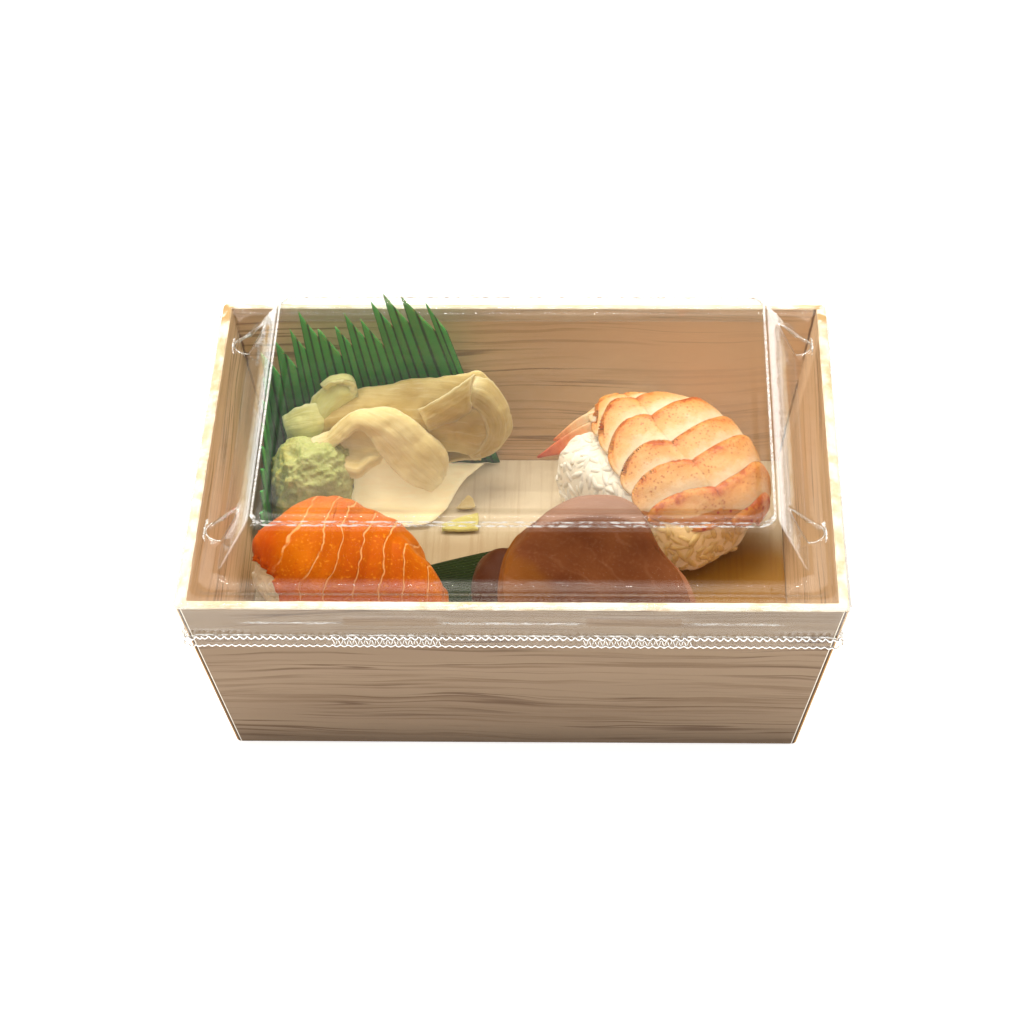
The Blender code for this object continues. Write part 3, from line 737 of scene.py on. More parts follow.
def make_lid():
    """The clear lid: plateau with a bead, dome sides with four lugs, ledge and skirt."""
    # Half length, half width, corner cut and height over the rim, from the top down
    corners = [(40.0, 30.0, 3.0, 15.4), (65.6, 48.8, 3.0, 15.4), (67.0, 50.2, 3.2, 15.8),
               (69.4, 52.6, 3.6, 15.8), (70.5, 53.8, 4.0, 15.0), (70.6, 53.9, 4.1, 13.9),
               SLOPE_HEAD, SLOPE_FOOT, (84.8, 65.8, 4.0, 0.2), (86.2, 67.5, 3.5, 1.1),
               (90.2, 71.8, 2.0, 1.1), (90.8, 72.3, 1.6, 0.2), (89.7, 71.2, 1.6, -5.6),
               (89.6, 71.1, 1.6, -6.6), (88.7, 70.2, 1.6, -11.4), (88.9, 70.4, 1.6, HEM_HEAD)]
    radii = [0, 0.7, 0.7, 1.1, 0.6, 0.6, 0.8, 1.2, 0.9, 0.8, 0.9, 0.9, 0.5, 0.5, 0.4, 0]
    outer = rounded_path(corners, radii, 0.9)
    outer = np.concatenate([[(20.0, 15.0, 3.0, PLATEAU)], outer])
    run, climb = np.gradient(outer[:, 0]), np.gradient(outer[:, 3])
    length = np.hypot(run, climb)
    inner = outer.copy()
    inner[:, 0] += climb / length * LID_WALL
    inner[:, 1] += climb / length * LID_WALL
    inner[:, 3] -= run / length * LID_WALL
    columns = lid_columns()
    ledge = SLOPE_FOOT[0] + LUG_RADIUS
    loops = [lid_loop(row, columns, row[0] < ledge) for row in outer]
    loops += [lid_loop(row, columns, row[0] < ledge, LID_WALL) for row in inner[::-1]]
    count = len(loops[0])
    grid = np.stack(loops[:len(outer)])
    facing = normals(grid)
    # The bend field marks the lid's sharp bends, where its finish paints white highlights.
    bend = np.maximum(*(np.linalg.norm(np.gradient(facing, axis=k), axis=-1)
                        / np.maximum(np.linalg.norm(np.gradient(grid, axis=k), axis=-1), 0.05)
                        for k in (0, 1)))
    bend = np.concatenate([bend.ravel(), bend[::-1].ravel(), [0.0, 0.0]])
    faces = ring_faces(len(loops), count, closed=False)
    points = np.concatenate(loops + [[(0, 0, RIM + PLATEAU), (0, 0, RIM + PLATEAU - LID_WALL)]])
    top, under = len(points) - 2, len(points) - 1
    last = (len(loops) - 1) * count
    for i in range(count):
        faces.append((top, (i + 1) % count, i))
        faces.append((under, last + i, last + (i + 1) % count))
    clear = clear_finish("clear_plastic")
    settle(make_piece("lid_shell", points, faces, clear, {"bend": bend}), "clear_plastic", "lid")
    make_hem()
    make_lug_lines()


def grow(tree, kind, inputs=None, prefix="GeometryNode", **settings):
    """A node of a Geometry Nodes tree, with its inputs linked or set."""
    made = tree.nodes.new(prefix + kind)
    for label, value in settings.items():
        setattr(made, label, value)
    for label, value in (inputs or {}).items():
        if isinstance(value, bpy.types.NodeSocket):
            tree.links.new(value, made.inputs[label])
        else:
            made.inputs[label].default_value = value
    return made


def new_tree(name, sizes):
    """A Geometry Nodes tree with one input for each of its named sizes."""
    tree = bpy.data.node_groups.new(name, "GeometryNodeTree")
    tree.interface.new_socket("Geometry", in_out="INPUT", socket_type="NodeSocketGeometry")
    kinds = {int: "NodeSocketInt", float: "NodeSocketFloat"}
    for label, value in sizes.items():
        kind = kinds.get(type(value), "NodeSocketMaterial")
        tree.interface.new_socket(label, in_out="INPUT", socket_type=kind)
    tree.interface.new_socket("Geometry", in_out="OUTPUT", socket_type="NodeSocketGeometry")
    return tree, tree.nodes.new("NodeGroupInput").outputs


def run_tree(piece, tree, sizes):
    """Runs a Geometry Nodes tree on a piece and keeps the result as plain mesh."""
    modifier = piece.modifiers.new("made", "NODES")
    modifier.node_group = tree
    for item in tree.interface.items_tree:
        if item.in_out == "INPUT" and item.name in sizes:
            modifier[item.identifier] = sizes[item.name]
    return applied(piece)


def hem_tree(sizes):
    """A strip along a closed line, whose ribs swing in and out and up and down."""
    tree, sockets = new_tree("hem_ribs", sizes)

    def value(operation, a, b):
        return grow(tree, "Math", {0: a, 1: b}, "ShaderNode", operation=operation).outputs[0]

    line = grow(tree, "MeshToCurve", {"Mesh": sockets["Geometry"]}).outputs[0]
    line = grow(tree, "ResampleCurve", {"Curve": line, "Length": sockets["Step"]},
                mode="LENGTH").outputs[0]
    length = grow(tree, "SplineParameter").outputs["Length"]
    turn = value("MULTIPLY", value("DIVIDE", length, sockets["Pitch"]), 2 * math.pi)
    swing = value("MULTIPLY", value("SINE", turn, 0.0), sockets["Depth"])
    lift = value("MULTIPLY", value("COSINE", turn, 0.0), sockets["Lift"])
    tangent = grow(tree, "InputTangent").outputs[0]
    out = grow(tree, "VectorMath", {0: tangent, 1: (0.0, 0.0, 1.0)}, "ShaderNode",
               operation="CROSS_PRODUCT").outputs[0]
    out = grow(tree, "VectorMath", {0: out, "Scale": swing}, "ShaderNode",
               operation="SCALE").outputs[0]
    up = grow(tree, "CombineXYZ", {"Z": lift}, "ShaderNode").outputs[0]
    offset = grow(tree, "VectorMath", {0: out, 1: up}, "ShaderNode", operation="ADD").outputs[0]
    moved = grow(tree, "SetPosition", {"Geometry": line, "Offset": offset})
    level = grow(tree, "SetCurveNormal", {"Curve": moved.outputs[0]}, mode="Z_UP")
    profile = grow(tree, "CurvePrimitiveQuadrilateral", {"Width": sockets["Wall"],
                                                         "Height": sockets["Height"]})
    rounded = grow(tree, "FilletCurve", {"Curve": profile.outputs[0], "Count": 2,
                                         "Radius": 0.1 * MM}, mode="POLY")
    band = grow(tree, "CurveToMesh", {"Curve": level.outputs[0],
                                      "Profile Curve": rounded.outputs[0]})
    smooth = grow(tree, "SetShadeSmooth", {"Geometry": band.outputs[0]})
    real = grow(tree, "RealizeInstances", {"Geometry": smooth.outputs[0]})
    done = grow(tree, "SetMaterial", {"Geometry": real.outputs[0],
                                      "Material": sockets["Plastic"]})
    tree.links.new(done.outputs[0], tree.nodes.new("NodeGroupOutput").inputs[0])
    return tree


def make_line(name, points, edges):
    """A piece of edges alone, which a tree then gives a body."""
    mesh = bpy.data.meshes.new(name)
    mesh.from_pydata((points * MM).tolist(), edges, [])
    piece = bpy.data.objects.new(name, mesh)
    bpy.context.scene.collection.objects.link(piece)
    return piece


def make_hem():
    """The crimped hem round the skirt's foot: a clear band with a whiter line at each edge."""
    clear = clear_finish("hem_plastic", 0.0)
    white = clear_finish("hem_edge_plastic", 0.8)
    ribs = clear_finish("hem_rib_plastic", 0.45)
    share = np.linspace(-1.0, 1.0, 60)[1:-1]
    # Each band's name, middle over the rim, height, wall, pitch, depth, lift and plastic
    bands = (("lid_hem", (HEM_HEAD + HEM_FOOT) / 2, 2.6, 0.30, 2.1, 0.30, 0.0, clear),
             ("lid_hem_top_line", HEM_HEAD, 0.50, 0.50, 2.1, 0.30, 0.38, white),
             ("lid_hem_foot_line", HEM_FOOT + 0.3, 0.48, 0.44, 2.1, 0.30, 0.06, white),
             ("lid_hem_tab_ribs", (HEM_HEAD + HEM_FOOT) / 2, 0.30, 0.30, 1.5, 0.12, 1.0, ribs))
    for name, rise, height, wall, pitch, depth, lift, plastic in bands:
        loop = lid_loop((89.0, 70.5, 2.4, rise), (share, share), False)
        count = len(loop)
        edges = [(i, (i + 1) % count) for i in range(count)]
        if plastic == ribs:
            tabbed = (np.abs(loop[:, 1]) > 68.0) & (np.abs(np.abs(loop[:, 0]) - 34.0) < 16.5)
            edges = [(i, j) for i, j in edges if tabbed[i] and tabbed[j]]
        piece = make_line(name, loop, edges)
        sizes = {"Pitch": pitch * MM, "Depth": depth * MM, "Lift": lift * MM,
                 "Height": height * MM, "Wall": wall * MM, "Step": 0.26 * MM, "Plastic": plastic}
        settle(run_tree(piece, hem_tree(sizes), sizes), "clear_plastic")


def make_lug_lines():
    """The bead round each stacking lug's outline, where the plastic turns sharply."""
    points, edges = [], []
    share = np.linspace(0.0, 1.0, 16)
    height = mix(LUG_TIP, SLOPE_FOOT[3], share)
    slope = (SLOPE_HEAD[0] - SLOPE_FOOT[0]) / (SLOPE_HEAD[3] - SLOPE_FOOT[3])
    edge_x = SLOPE_FOOT[0] + slope * (height - SLOPE_FOOT[3])
    half = LUG_RADIUS * share ** LUG_ROUND
    bend = np.radians(np.linspace(90.0, -90.0, 21)[1:-1])
    for side in (1, -1):
        for lug in LUG_PLACES:
            down = joined(edge_x, lug + half, RIM + height)
            arc = joined(SLOPE_FOOT[0] + LUG_RADIUS * np.cos(bend),
                         lug + LUG_RADIUS * np.sin(bend), bend * 0 + RIM + SLOPE_FOOT[3])
            loop = np.concatenate([down, arc, joined(edge_x, lug - half, RIM + height)[::-1][:-1]])
            loop[:, 0] *= side
            first, count = sum(len(part) for part in points), len(loop)
            edges += [(first + i, first + (i + 1) % count) for i in range(count)]
            points.append(loop)
    piece = make_line("lid_lug_lines", np.concatenate(points), edges)
    sizes = {"Pitch": 2.1 * MM, "Depth": 0.0, "Lift": 0.0, "Height": 0.34 * MM,
             "Wall": 0.34 * MM, "Step": 0.4 * MM, "Plastic": clear_finish("lug_edge_plastic", 0.42)}
    settle(run_tree(piece, hem_tree(sizes), sizes), "clear_plastic")


# ------------------------------------------------------------------ rice

class Block:
    """The pressed rice of one nigiri: half sizes, height, centre and turn, in millimetres.

    square is 1 for an ellipse along the piece and less for a squarer block, flat does the
    same across it, slope lowers its +X end, as a share of its height, drop lowers only the
    last part of that end, and taper makes that part narrower.
    """

    def __init__(self, half_length, half_width, height, centre, turn, base, square, slope,
                 flat=0.85, drop=0.0, taper=0.0):
        self.half_length, self.half_width = half_length, half_width
        self.rise, self.depth = height * 0.6, height * 0.4
        self.square, self.slope, self.flat = square, slope, flat
        self.drop, self.taper = drop, taper
        self.centre = np.array([centre[0], centre[1], base + self.depth])
        self.turn = math.radians(turn)

    def dome(self, u, v, over_it=0.0):
        """Points over the block: u in degrees from end to end, v round it from the top."""
        u, v = np.radians(u), np.radians(v)
        along = power(np.sin(u), self.square)
        around = np.abs(np.cos(u)) ** self.square
        x = (self.half_length + over_it) * along
        y = (self.half_width + over_it) * around * power(np.sin(v), self.flat)
        y = y * (1 - self.taper * ease(along, 0.1, 1.0))
        z = around * power(np.cos(v), self.flat)
        high = (self.rise + over_it) * (1 - self.slope * along)
        high = high * (1 - self.drop * ease(along, 0.2, 1.0))
        return joined(x, y, z * np.where(z > 0, high, self.depth + over_it))

    def put(self, points):
        """Points of the block's own frame, put where it stands."""
        c, s = math.cos(self.turn), math.sin(self.turn)
        x, y, z = points[..., 0], points[..., 1], points[..., 2]
        return joined(x * c - y * s, x * s + y * c, z) + self.centre


# Where the painted warm shade on the rice's front right begins and is full, along X and along Y, in
# metres
WARM_RICE_X, WARM_RICE_Y = (0.032, 0.042), (0.022, 0.008)


def rice_finish(name, low, high, glow):
    """Moist cooked rice: white and slightly see-through, warmer in the gaps, with a painted glow
    and a painted warm shade on its front right.
    """
    finish = Finish(name, Roughness=0.42, Subsurface_Weight=0.25, Subsurface_Scale=0.003,
                    Emission_Strength=glow)
    finish.shader.inputs["Emission Color"].default_value = tone(255, 236, 204)
    finish.shader.inputs["Subsurface Radius"].default_value = (1.0, 0.9, 0.75)
    cloudy = finish.noise(finish.place(), 240.0, 3.0)
    base = finish.ramp(cloudy, (0.3, low), (0.65, high))
    # Painted shade: the rice's front right is tinted darker and golden, standing in for shade and
    # light thrown back from the golden floor.
    front = finish.math("MULTIPLY", finish.between(finish.axis("X"), *WARM_RICE_X),
                        finish.between(finish.axis("Y"), *WARM_RICE_Y))
    finish.colour(finish.blend(front, base, tone(244, 210, 148), "MULTIPLY"))
    finish.relief((finish.noise(finish.place(), 900.0, 2.0), 0.00008))
    return finish.made


def make_core(name, block, finish, over_it):
    """The lump of rice under the outermost grains, over_it millimetres outside its block."""
    u, v = over(34, 49)
    points = block.dome(mix(-89.0, 89.0, u), mix(0.0, 360.0, v), over_it)[:, :-1]
    points = block.put(points)
    points[..., 2] = np.maximum(points[..., 2], FLOOR + 0.35)
    points = points + normals(points) * (0.45 * lumps(points, 3.0, 4.0))[..., None]
    points[..., 2] = np.maximum(points[..., 2], FLOOR + 0.35)
    rows, count = points.shape[:2]
    faces = ring_faces(rows, count, closed=False)
    flat = np.concatenate([points.reshape(-1, 3), [points[0].mean(axis=0)],
                           [points[-1].mean(axis=0)]])
    for i in range(count):
        faces.append((rows * count, (i + 1) % count, i))
        faces.append((rows * count + 1, (rows - 1) * count + i,
                      (rows - 1) * count + (i + 1) % count))
    return make_piece(name + "_core", flat, faces, finish)


def grain_tree(sizes):
    """Grains of rice laid on a surface, each turned its own way."""
    tree, sockets = new_tree("laid_grains", sizes)
    laid = grow(tree, "DistributePointsOnFaces", {
        "Mesh": sockets["Geometry"], "Distance Min": sockets["Spacing"], "Density Max": 900000.0,
        "Seed": sockets["Seed"]}, distribute_method="POISSON")
    ball = grow(tree, "MeshUVSphere", {"Segments": 8, "Rings": 7, "Radius": 1.0})
    scale = grow(tree, "CombineXYZ", {"X": sockets["Half length"], "Y": sockets["Half width"],
                                      "Z": sockets["Half width"]}, "ShaderNode")
    upright = grow(tree, "Transform", {"Geometry": ball.outputs[0],
                                       "Rotation": Euler((0.0, math.pi / 2, 0.0))})
    grain = grow(tree, "Transform", {"Geometry": upright.outputs[0], "Scale": scale.outputs[0]})
    twist = grow(tree, "RandomValue", {0: (-0.25, -0.25, 0.0), 1: (0.25, 0.25, 6.28),
                                       "Seed": sockets["Seed"]}, "FunctionNode",
                 data_type="FLOAT_VECTOR")
    twist = grow(tree, "EulerToRotation", {0: twist.outputs[0]}, "FunctionNode")
    turned = grow(tree, "RotateRotation", {"Rotation": laid.outputs["Rotation"],
                                           "Rotate By": twist.outputs[0]}, "FunctionNode",
                  rotation_space="LOCAL")
    size = grow(tree, "RandomValue", {2: 0.8, 3: 1.12, "Seed": sockets["Seed"]}, "FunctionNode",
                data_type="FLOAT")
    placed = grow(tree, "InstanceOnPoints", {
        "Points": laid.outputs["Points"], "Instance": grain.outputs[0],
        "Rotation": turned.outputs[0], "Scale": size.outputs[1]})
    real = grow(tree, "RealizeInstances", {"Geometry": placed.outputs[0]})
    smooth = grow(tree, "SetShadeSmooth", {"Geometry": real.outputs[0]})
    done = grow(tree, "SetMaterial", {"Geometry": smooth.outputs[0],
                                      "Material": sockets["Rice"]})
    tree.links.new(done.outputs[0], tree.nodes.new("NodeGroupOutput").inputs[0])
    return tree


def make_rice(blocks):
    """Rice of the three nigiri: one core each, and all the outermost grains as one piece."""
    # The rice's emission is a painted glow, standing in for light that passes through and between
    # the grains.
    core_finish = rice_finish("rice_core", tone(240, 228, 204), tone(247, 239, 220), 0.12)
    sizes = {"Spacing": 2.0 * MM, "Half length": 2.9 * MM, "Half width": 1.2 * MM, "Seed": 7,
             "Rice": rice_finish("rice_grain", tone(240, 231, 209), tone(248, 241, 224), 0.02)}
    tree = grain_tree(sizes)
    grains = []
    for number, (name, block) in enumerate(blocks.items()):
        core = make_core(name, block, core_finish, 0.05)
        bed = make_core("bed_" + name, block, core_finish, -0.7)
        grains.append(run_tree(bed, tree, {**sizes, "Seed": 7 + number}))
        settle(core, "rice", name)
    shape = bmesh.new()
    for bed in grains:
        shape.from_mesh(bed.data)
        bpy.data.objects.remove(bed)
    for point in shape.verts:
        point.co.z = max(point.co.z, (FLOOR + 0.3) * MM)
    mesh = bpy.data.meshes.new("rice_grains")
    shape.to_mesh(mesh)
    shape.free()
    mesh.materials.append(sizes["Rice"])
    mesh.shade_smooth()
    piece = bpy.data.objects.new("rice_grains", mesh)
    bpy.context.scene.collection.objects.link(piece)
    settle(piece, "rice")


# ------------------------------------------------------------------ salmon

def salmon_finish():
    """Orange salmon with pale lines of fat, fine speckles and a darker end."""
    finish = Finish("salmon", Roughness=0.36, Specular_IOR_Level=0.06, Subsurface_Weight=0.2,
                    Subsurface_Scale=0.003)
    finish.shader.inputs["Subsurface Radius"].default_value = (1.0, 0.3, 0.04)
    broad = finish.noise(finish.place(), 75.0, 3.0)
    base = finish.ramp(broad, (0.32, tone(196, 88, 0)), (0.68, tone(216, 114, 0)))
    speck = finish.noise(finish.place(), 1100.0, 2.0, 0.6)
    base = finish.blend(finish.between(speck, 0.58, 0.70, 0.0, 0.65), base, tone(242, 156, 40))
    base = finish.blend(finish.between(speck, 0.42, 0.30, 0.0, 0.35), base, tone(184, 64, 2))
    phase = finish.sum(finish.field("fat"), finish.noise(finish.place(), 160.0, 3.0), 0.34)
    away = finish.math("ABSOLUTE", finish.math("SUBTRACT", finish.math("FRACT", phase), 0.5))
    broken = finish.noise(finish.place(), 420.0, 3.0)
    line = finish.math("MULTIPLY", finish.between(away, 0.036, 0.008),
                       finish.between(broken, 0.34, 0.52, 0.25, 1.0))
    line = finish.math("MULTIPLY", line, finish.field("fat_shown"))
    base = finish.blend(line, base, tone(244, 176, 112))
    base = finish.blend(finish.between(finish.field("dark"), 0.0, 1.0, 0.0, 0.55), base,
                        tone(196, 74, 10))
    finish.colour(base)
    finish.relief((line, -0.00018), (speck, 0.00009), (broad, 0.0006))
    return finish.made


def make_salmon():
    """The salmon slice, draped over its rice, which shows at the left under its ragged end."""
    lines = [[(-71, 4, 22), (-66, 4.5, 26), (-60, 4.6, 28), (-53, 4.6, 28), (-46, 4.6, 26),
              (-40, 4.5, 23), (-34, 4, 20), (-30, 2.5, 17)],
             [(-74, 0, 28), (-70, 0, 32), (-63, 0, 38), (-55, 0, 41), (-49, 0, 40),
              (-44, 0, 37), (-38, 0, 33.5), (-33, 0, 29.5), (-29, -1, 24), (-26, -3, 19)],
             [(-76.5, -8, 26), (-76, -8, 32), (-72, -8, 35.5), (-65, -8, 42), (-56, -8, 44.6),
              (-50, -8, 44.6), (-46, -8, 42), (-41, -8, 38.5), (-35, -8, 35.3),
              (-31, -8, 30.5), (-28, -9, 25.5), (-24, -10, 19)],
             [(-74.5, -17, 30), (-71, -18, 34.5), (-64, -18, 40.5), (-56, -18, 43),
              (-49, -18, 43), (-43, -18, 40.5), (-37, -18, 38), (-31, -18, 35),
              (-27, -18, 31), (-23, -18, 26), (-20, -18, 20)],
             [(-68.5, -24, 29), (-64, -26, 33), (-59, -27, 35.5), (-53, -27, 36.5),
              (-47, -27, 36), (-41, -27, 34), (-34, -26.5, 31.5), (-28, -26, 28),
              (-23, -25, 23), (-20, -24, 18)],
             [(-66.5, -28.5, 20), (-61, -31, 17), (-54, -31.5, 15), (-46, -31.5, 14),
              (-38, -31, 14), (-30, -30, 14), (-24, -28, 15), (-21, -26, 15.5)]]
    surface = loft(lines, 130, 90, 0.4)
    s, t = over(130, 90, 0.4)
    out = normals(surface)
    out = out * np.sign(out[60, 45, 2])
    ragged = ease(s, 0.05, 0.0) * lumps(surface, 3.0, 4.0, 3)
    surface[..., 0] += 1.6 * ragged
    thick = 5.4 * edge_round(s, 0.06) * edge_round(t, 0.07) * mix(0.45, 1.0, ease(s, 0.0, 0.15))
    x, z = surface[..., 0], surface[..., 2]
    foot_lines = [-84.0, -66.5, -61.2, -53.2, -45.4, -37.6, -31.3, -24.6, -16.0]
    top_lines = [-78.0, -60.0, -53.5, -49.0, -42.0, -36.6, -31.4, -26.0, -20.0]
    numbers = np.arange(len(foot_lines)) + 0.5
    phase = mix(np.interp(x, foot_lines, numbers), np.interp(x, top_lines, numbers),
                ease(z, 29.0, 43.0))
    phase = phase - 0.035 * np.maximum(surface[..., 1] + 18.0, 0.0)
    rise = 0.2 * np.sin(2 * math.pi * phase) + 0.3 * lumps(surface, 9.0, 3.0) - thick / 2
    middle = surface + out * rise[..., None]
    fields = {"fat": phase, "fat_shown": ease(x, -72.0, -66.0), "dark": ease(x, -66.0, -72.0)}
    piece = make_slab("salmon_slice_cut", middle, thick, salmon_finish(), fields)
    settle(piece, "salmon", "salmon_slice")


# ------------------------------------------------------------------ tuna

def tuna_finish(name, dark=0.0):
    """Dark red tuna with a sheen: pinkish arcs of grain, a golden-brown patch and a painted pale
    haze on its top, standing in for the lid's reflection over it.
    """
    finish = Finish(name, Roughness=0.42, Specular_IOR_Level=0.08, Subsurface_Weight=0.1,
                    Subsurface_Scale=0.002)
    finish.shader.inputs["Subsurface Radius"].default_value = (1.0, 0.4, 0.3)
    broad = finish.noise(finish.place(), 70.0, 3.0)
    base = finish.ramp(broad, (0.30, tone(106, 56, 26)), (0.70, tone(130, 76, 40)))
    fine = finish.noise(finish.place(), 1300.0, 2.0, 0.6)
    base = finish.blend(finish.between(fine, 0.56, 0.70, 0.0, 0.3), base, tone(156, 104, 76))
    patch = finish.sum(finish.field("patch"), finish.math("SUBTRACT", broad, 0.5), 0.8)
    base = finish.blend(finish.between(patch, 0.25, 0.7, 0.0, 0.7), base, tone(134, 78, 16))
    arcs = finish.sum(finish.field("arc"), finish.noise(finish.place(), 90.0, 2.0), 1.1)
    away = finish.math("ABSOLUTE", finish.math("SUBTRACT", finish.math("FRACT", arcs), 0.5))
    line = finish.math("MULTIPLY", finish.between(away, 0.10, 0.0, 0.0, 0.16),
                       finish.between(broad, 0.4, 0.6, 0.2, 1.0))
    base = finish.blend(line, base, tone(170, 120, 92))
    # Painted reflection: the slice's top is painted paler, as the lid's haze over it.
    base = finish.blend(finish.between(finish.field("crown"), 0.0, 1.0, 0.0, 0.6), base,
                        tone(178, 138, 116))
    base = finish.blend(finish.between(finish.field("brim"), 0.4, 1.0, 0.0, 0.6), base,
                        tone(176, 118, 84))
    base = finish.blend(dark, base, tone(58, 22, 6))
    finish.colour(base)
    finish.relief((fine, 0.00008), (arcs, 0.0002))
    return finish.made


def make_tuna():
    """The tuna slice, cut slantwise at its right end, and the flap folded at its left."""
    lines = [[(2, 3, 14), (6, 3, 20), (12, 3, 23), (18, 3, 25), (24, 3, 26), (30, 3, 25),
              (34, 3, 22), (36, 3, 18)],
             [(1, 0, 24.5), (6, 0, 30), (10.5, 0, 33.5), (16.5, 0, 37), (23, 0, 38.5),
              (29, 0, 37), (33, 0, 34), (35, 0, 30), (36.5, 0, 25)],
             [(0, -6, 32), (5, -6, 37), (10, -6, 41.5), (16, -6, 45), (23, -6, 46),
              (29, -6, 45), (33.5, -6, 42), (36, -6, 38), (37.5, -6, 33.5)],
             [(-4, -13.5, 30), (-1, -13.5, 33.5), (3.5, -13.5, 38.5), (9.5, -13.5, 42.5),
              (17.5, -13.5, 44.5), (24.5, -13.5, 45), (31.5, -13.5, 43.5), (37, -13.5, 39),
              (40.5, -13.5, 32.5)],
             [(-5.5, -20.5, 26.5), (-3.5, -20.5, 29.5), (1.5, -20.5, 32.5), (10, -20.5, 35.5),
              (20.5, -20.5, 37), (30.5, -20.5, 36.5), (38, -20.5, 34.5), (43.5, -20.5, 31),
              (47.5, -20.5, 27.5)],
             [(-5.5, -28.5, 23), (-1.5, -28.5, 25), (6.5, -28.5, 25.5), (17.5, -28.5, 25.5),
              (29, -28.5, 25.5), (40, -28.5, 25.5), (47, -28.5, 25), (51, -28.5, 23)],
             [(-5, -31, 13), (6, -31, 14), (18, -31, 14), (30, -31, 14), (42, -31, 14),
              (52, -31, 13)]]
    surface = loft(lines, 120, 96, 0.4)
    s, t = over(120, 96, 0.4)
    out = normals(surface)
    out = out * np.sign(out[60, 40, 2])
    thick = 5.6 * edge_round(s, 0.035) * edge_round(t, 0.07)
    rise = 0.3 * lumps(surface, 11.0, 6.0) - thick / 2
    middle = surface + out * rise[..., None]
    x, y, z = surface[..., 0], surface[..., 1], surface[..., 2]
    # The top of the slice is marked for its painted pale haze.
    fields = {"patch": 1.3 - np.hypot((x - 2.0) / 10.5, (z - 28.0) / 6.5),
              "arc": np.hypot(x - 4.0, (z - 12.0) * 1.2) / 7.0,
              "crown": ease(y, -14.6, -12.6) * ease(z, 38.0, 42.5), "brim": ease(s, 0.955, 1.0)}
    settle(make_slab("tuna_slice_cut", middle, thick, tuna_finish("tuna"), fields), "tuna",
           "tuna_slice")
    folds = [[(-12.6, -29, 11.5), (-12.4, -29, 16), (-9, -29, 19), (-3, -29, 20), (2, -29, 19)],
             [(-12.8, -20, 12), (-12.8, -20, 20), (-10, -20, 24), (-4, -20, 26), (2, -20, 24)],
             [(-12.8, -11, 12), (-12.8, -11, 21), (-10, -11, 26), (-4, -11, 28), (2, -11, 26)],
             [(-12.0, -6, 12), (-12.2, -5, 20), (-9, -5, 25), (-4, -5, 27), (2, -5, 25)]]
    middle = loft(folds, 60, 50)
    s, t = over(60, 50, 0.3)
    middle = middle - normals(middle) * 2.2 * np.sign(normals(middle)[30, 25, 2])
    middle = middle + normals(middle) * (0.5 * lumps(middle, 6.0, 9.0))[..., None]
    thick = 4.6 * edge_round(s, 0.12) * edge_round(t, 0.12)
    settle(make_slab("tuna_flap", middle, thick, tuna_finish("tuna_flap", 0.85)), "tuna")


# ------------------------------------------------------------------ shrimp

def shrimp_finish():
    """Cooked shrimp: bands that go from orange with fine red dots to white."""
    finish = Finish("shrimp", Roughness=0.34, Specular_IOR_Level=0.35,
                    Subsurface_Weight=0.3, Subsurface_Scale=0.003)
    finish.shader.inputs["Subsurface Radius"].default_value = (1.0, 0.55, 0.3)
    cloud = finish.noise(finish.place(), 120.0, 3.0)
    streak = finish.noise(finish.place(), 300.0, 4.0, 0.65)
    band = finish.sum(finish.field("band"), finish.math("SUBTRACT", streak, 0.5), 0.6)
    band = finish.sum(band, finish.math("SUBTRACT", cloud, 0.5), 0.5)
    base = finish.ramp(band, (0.0, tone(190, 88, 20)), (0.06, tone(216, 132, 54)),
                       (0.20, tone(226, 158, 84)), (0.52, tone(230, 178, 114)),
                       (0.72, tone(234, 196, 150)), (0.98, tone(238, 210, 176)))
    dots = finish.cells(finish.place(), 900.0)
    dotted = finish.math("MULTIPLY", finish.between(dots, 0.34, 0.18),
                         finish.between(finish.field("band"), 0.8, 0.35, 0.0, 0.75))
    dotted = finish.math("MULTIPLY", dotted, finish.between(cloud, 0.36, 0.52))
    base = finish.blend(dotted, base, tone(186, 84, 26))
    seam = finish.sum(finish.field("seam"), finish.math("SUBTRACT", streak, 0.5), 0.7)
    base = finish.blend(finish.between(seam, 0.5, 1.1, 0.0, 0.7), base, tone(196, 88, 36))
    front = finish.sum(finish.field("front"), finish.math("SUBTRACT", cloud, 0.5), 0.6)
    base = finish.blend(finish.between(front, 0.45, 0.6, 0.0, 0.9), base, tone(206, 124, 22))
    spots = finish.math("MULTIPLY", finish.between(front, 0.45, 0.6),
                        finish.between(finish.cells(finish.place(), 260.0), 0.22, 0.12))
    base = finish.blend(spots, base, tone(176, 52, 12))
    finish.colour(base)
    finish.relief((streak, 0.00016), (cloud, 0.0003))
    return finish.made


def tail_finish():
    """The shrimp's tail: ribbed, and paler towards its tip."""
    finish = Finish("shrimp_tail", Roughness=0.30, Subsurface_Weight=0.2,
                    Subsurface_Scale=0.002, Coat_Weight=0.3)
    along = finish.field("along")
    rib = finish.noise(finish.place((500.0, 500.0, 160.0)), 1.0, 3.0)
    mixed = finish.sum(along, finish.math("SUBTRACT", rib, 0.5), 0.5)
    base = finish.ramp(mixed, (0.0, tone(176, 70, 34)), (0.35, tone(214, 112, 58)),
                       (0.7, tone(236, 172, 112)), (1.0, tone(238, 206, 160)))
    finish.colour(base)
    finish.relief((rib, 0.0003))
    return finish.made


# Where the shrimp's bands begin along its split, as shares of its length
BAND_STARTS = (0.0, 0.125, 0.30, 0.51, 0.66, 0.84, 1.02)


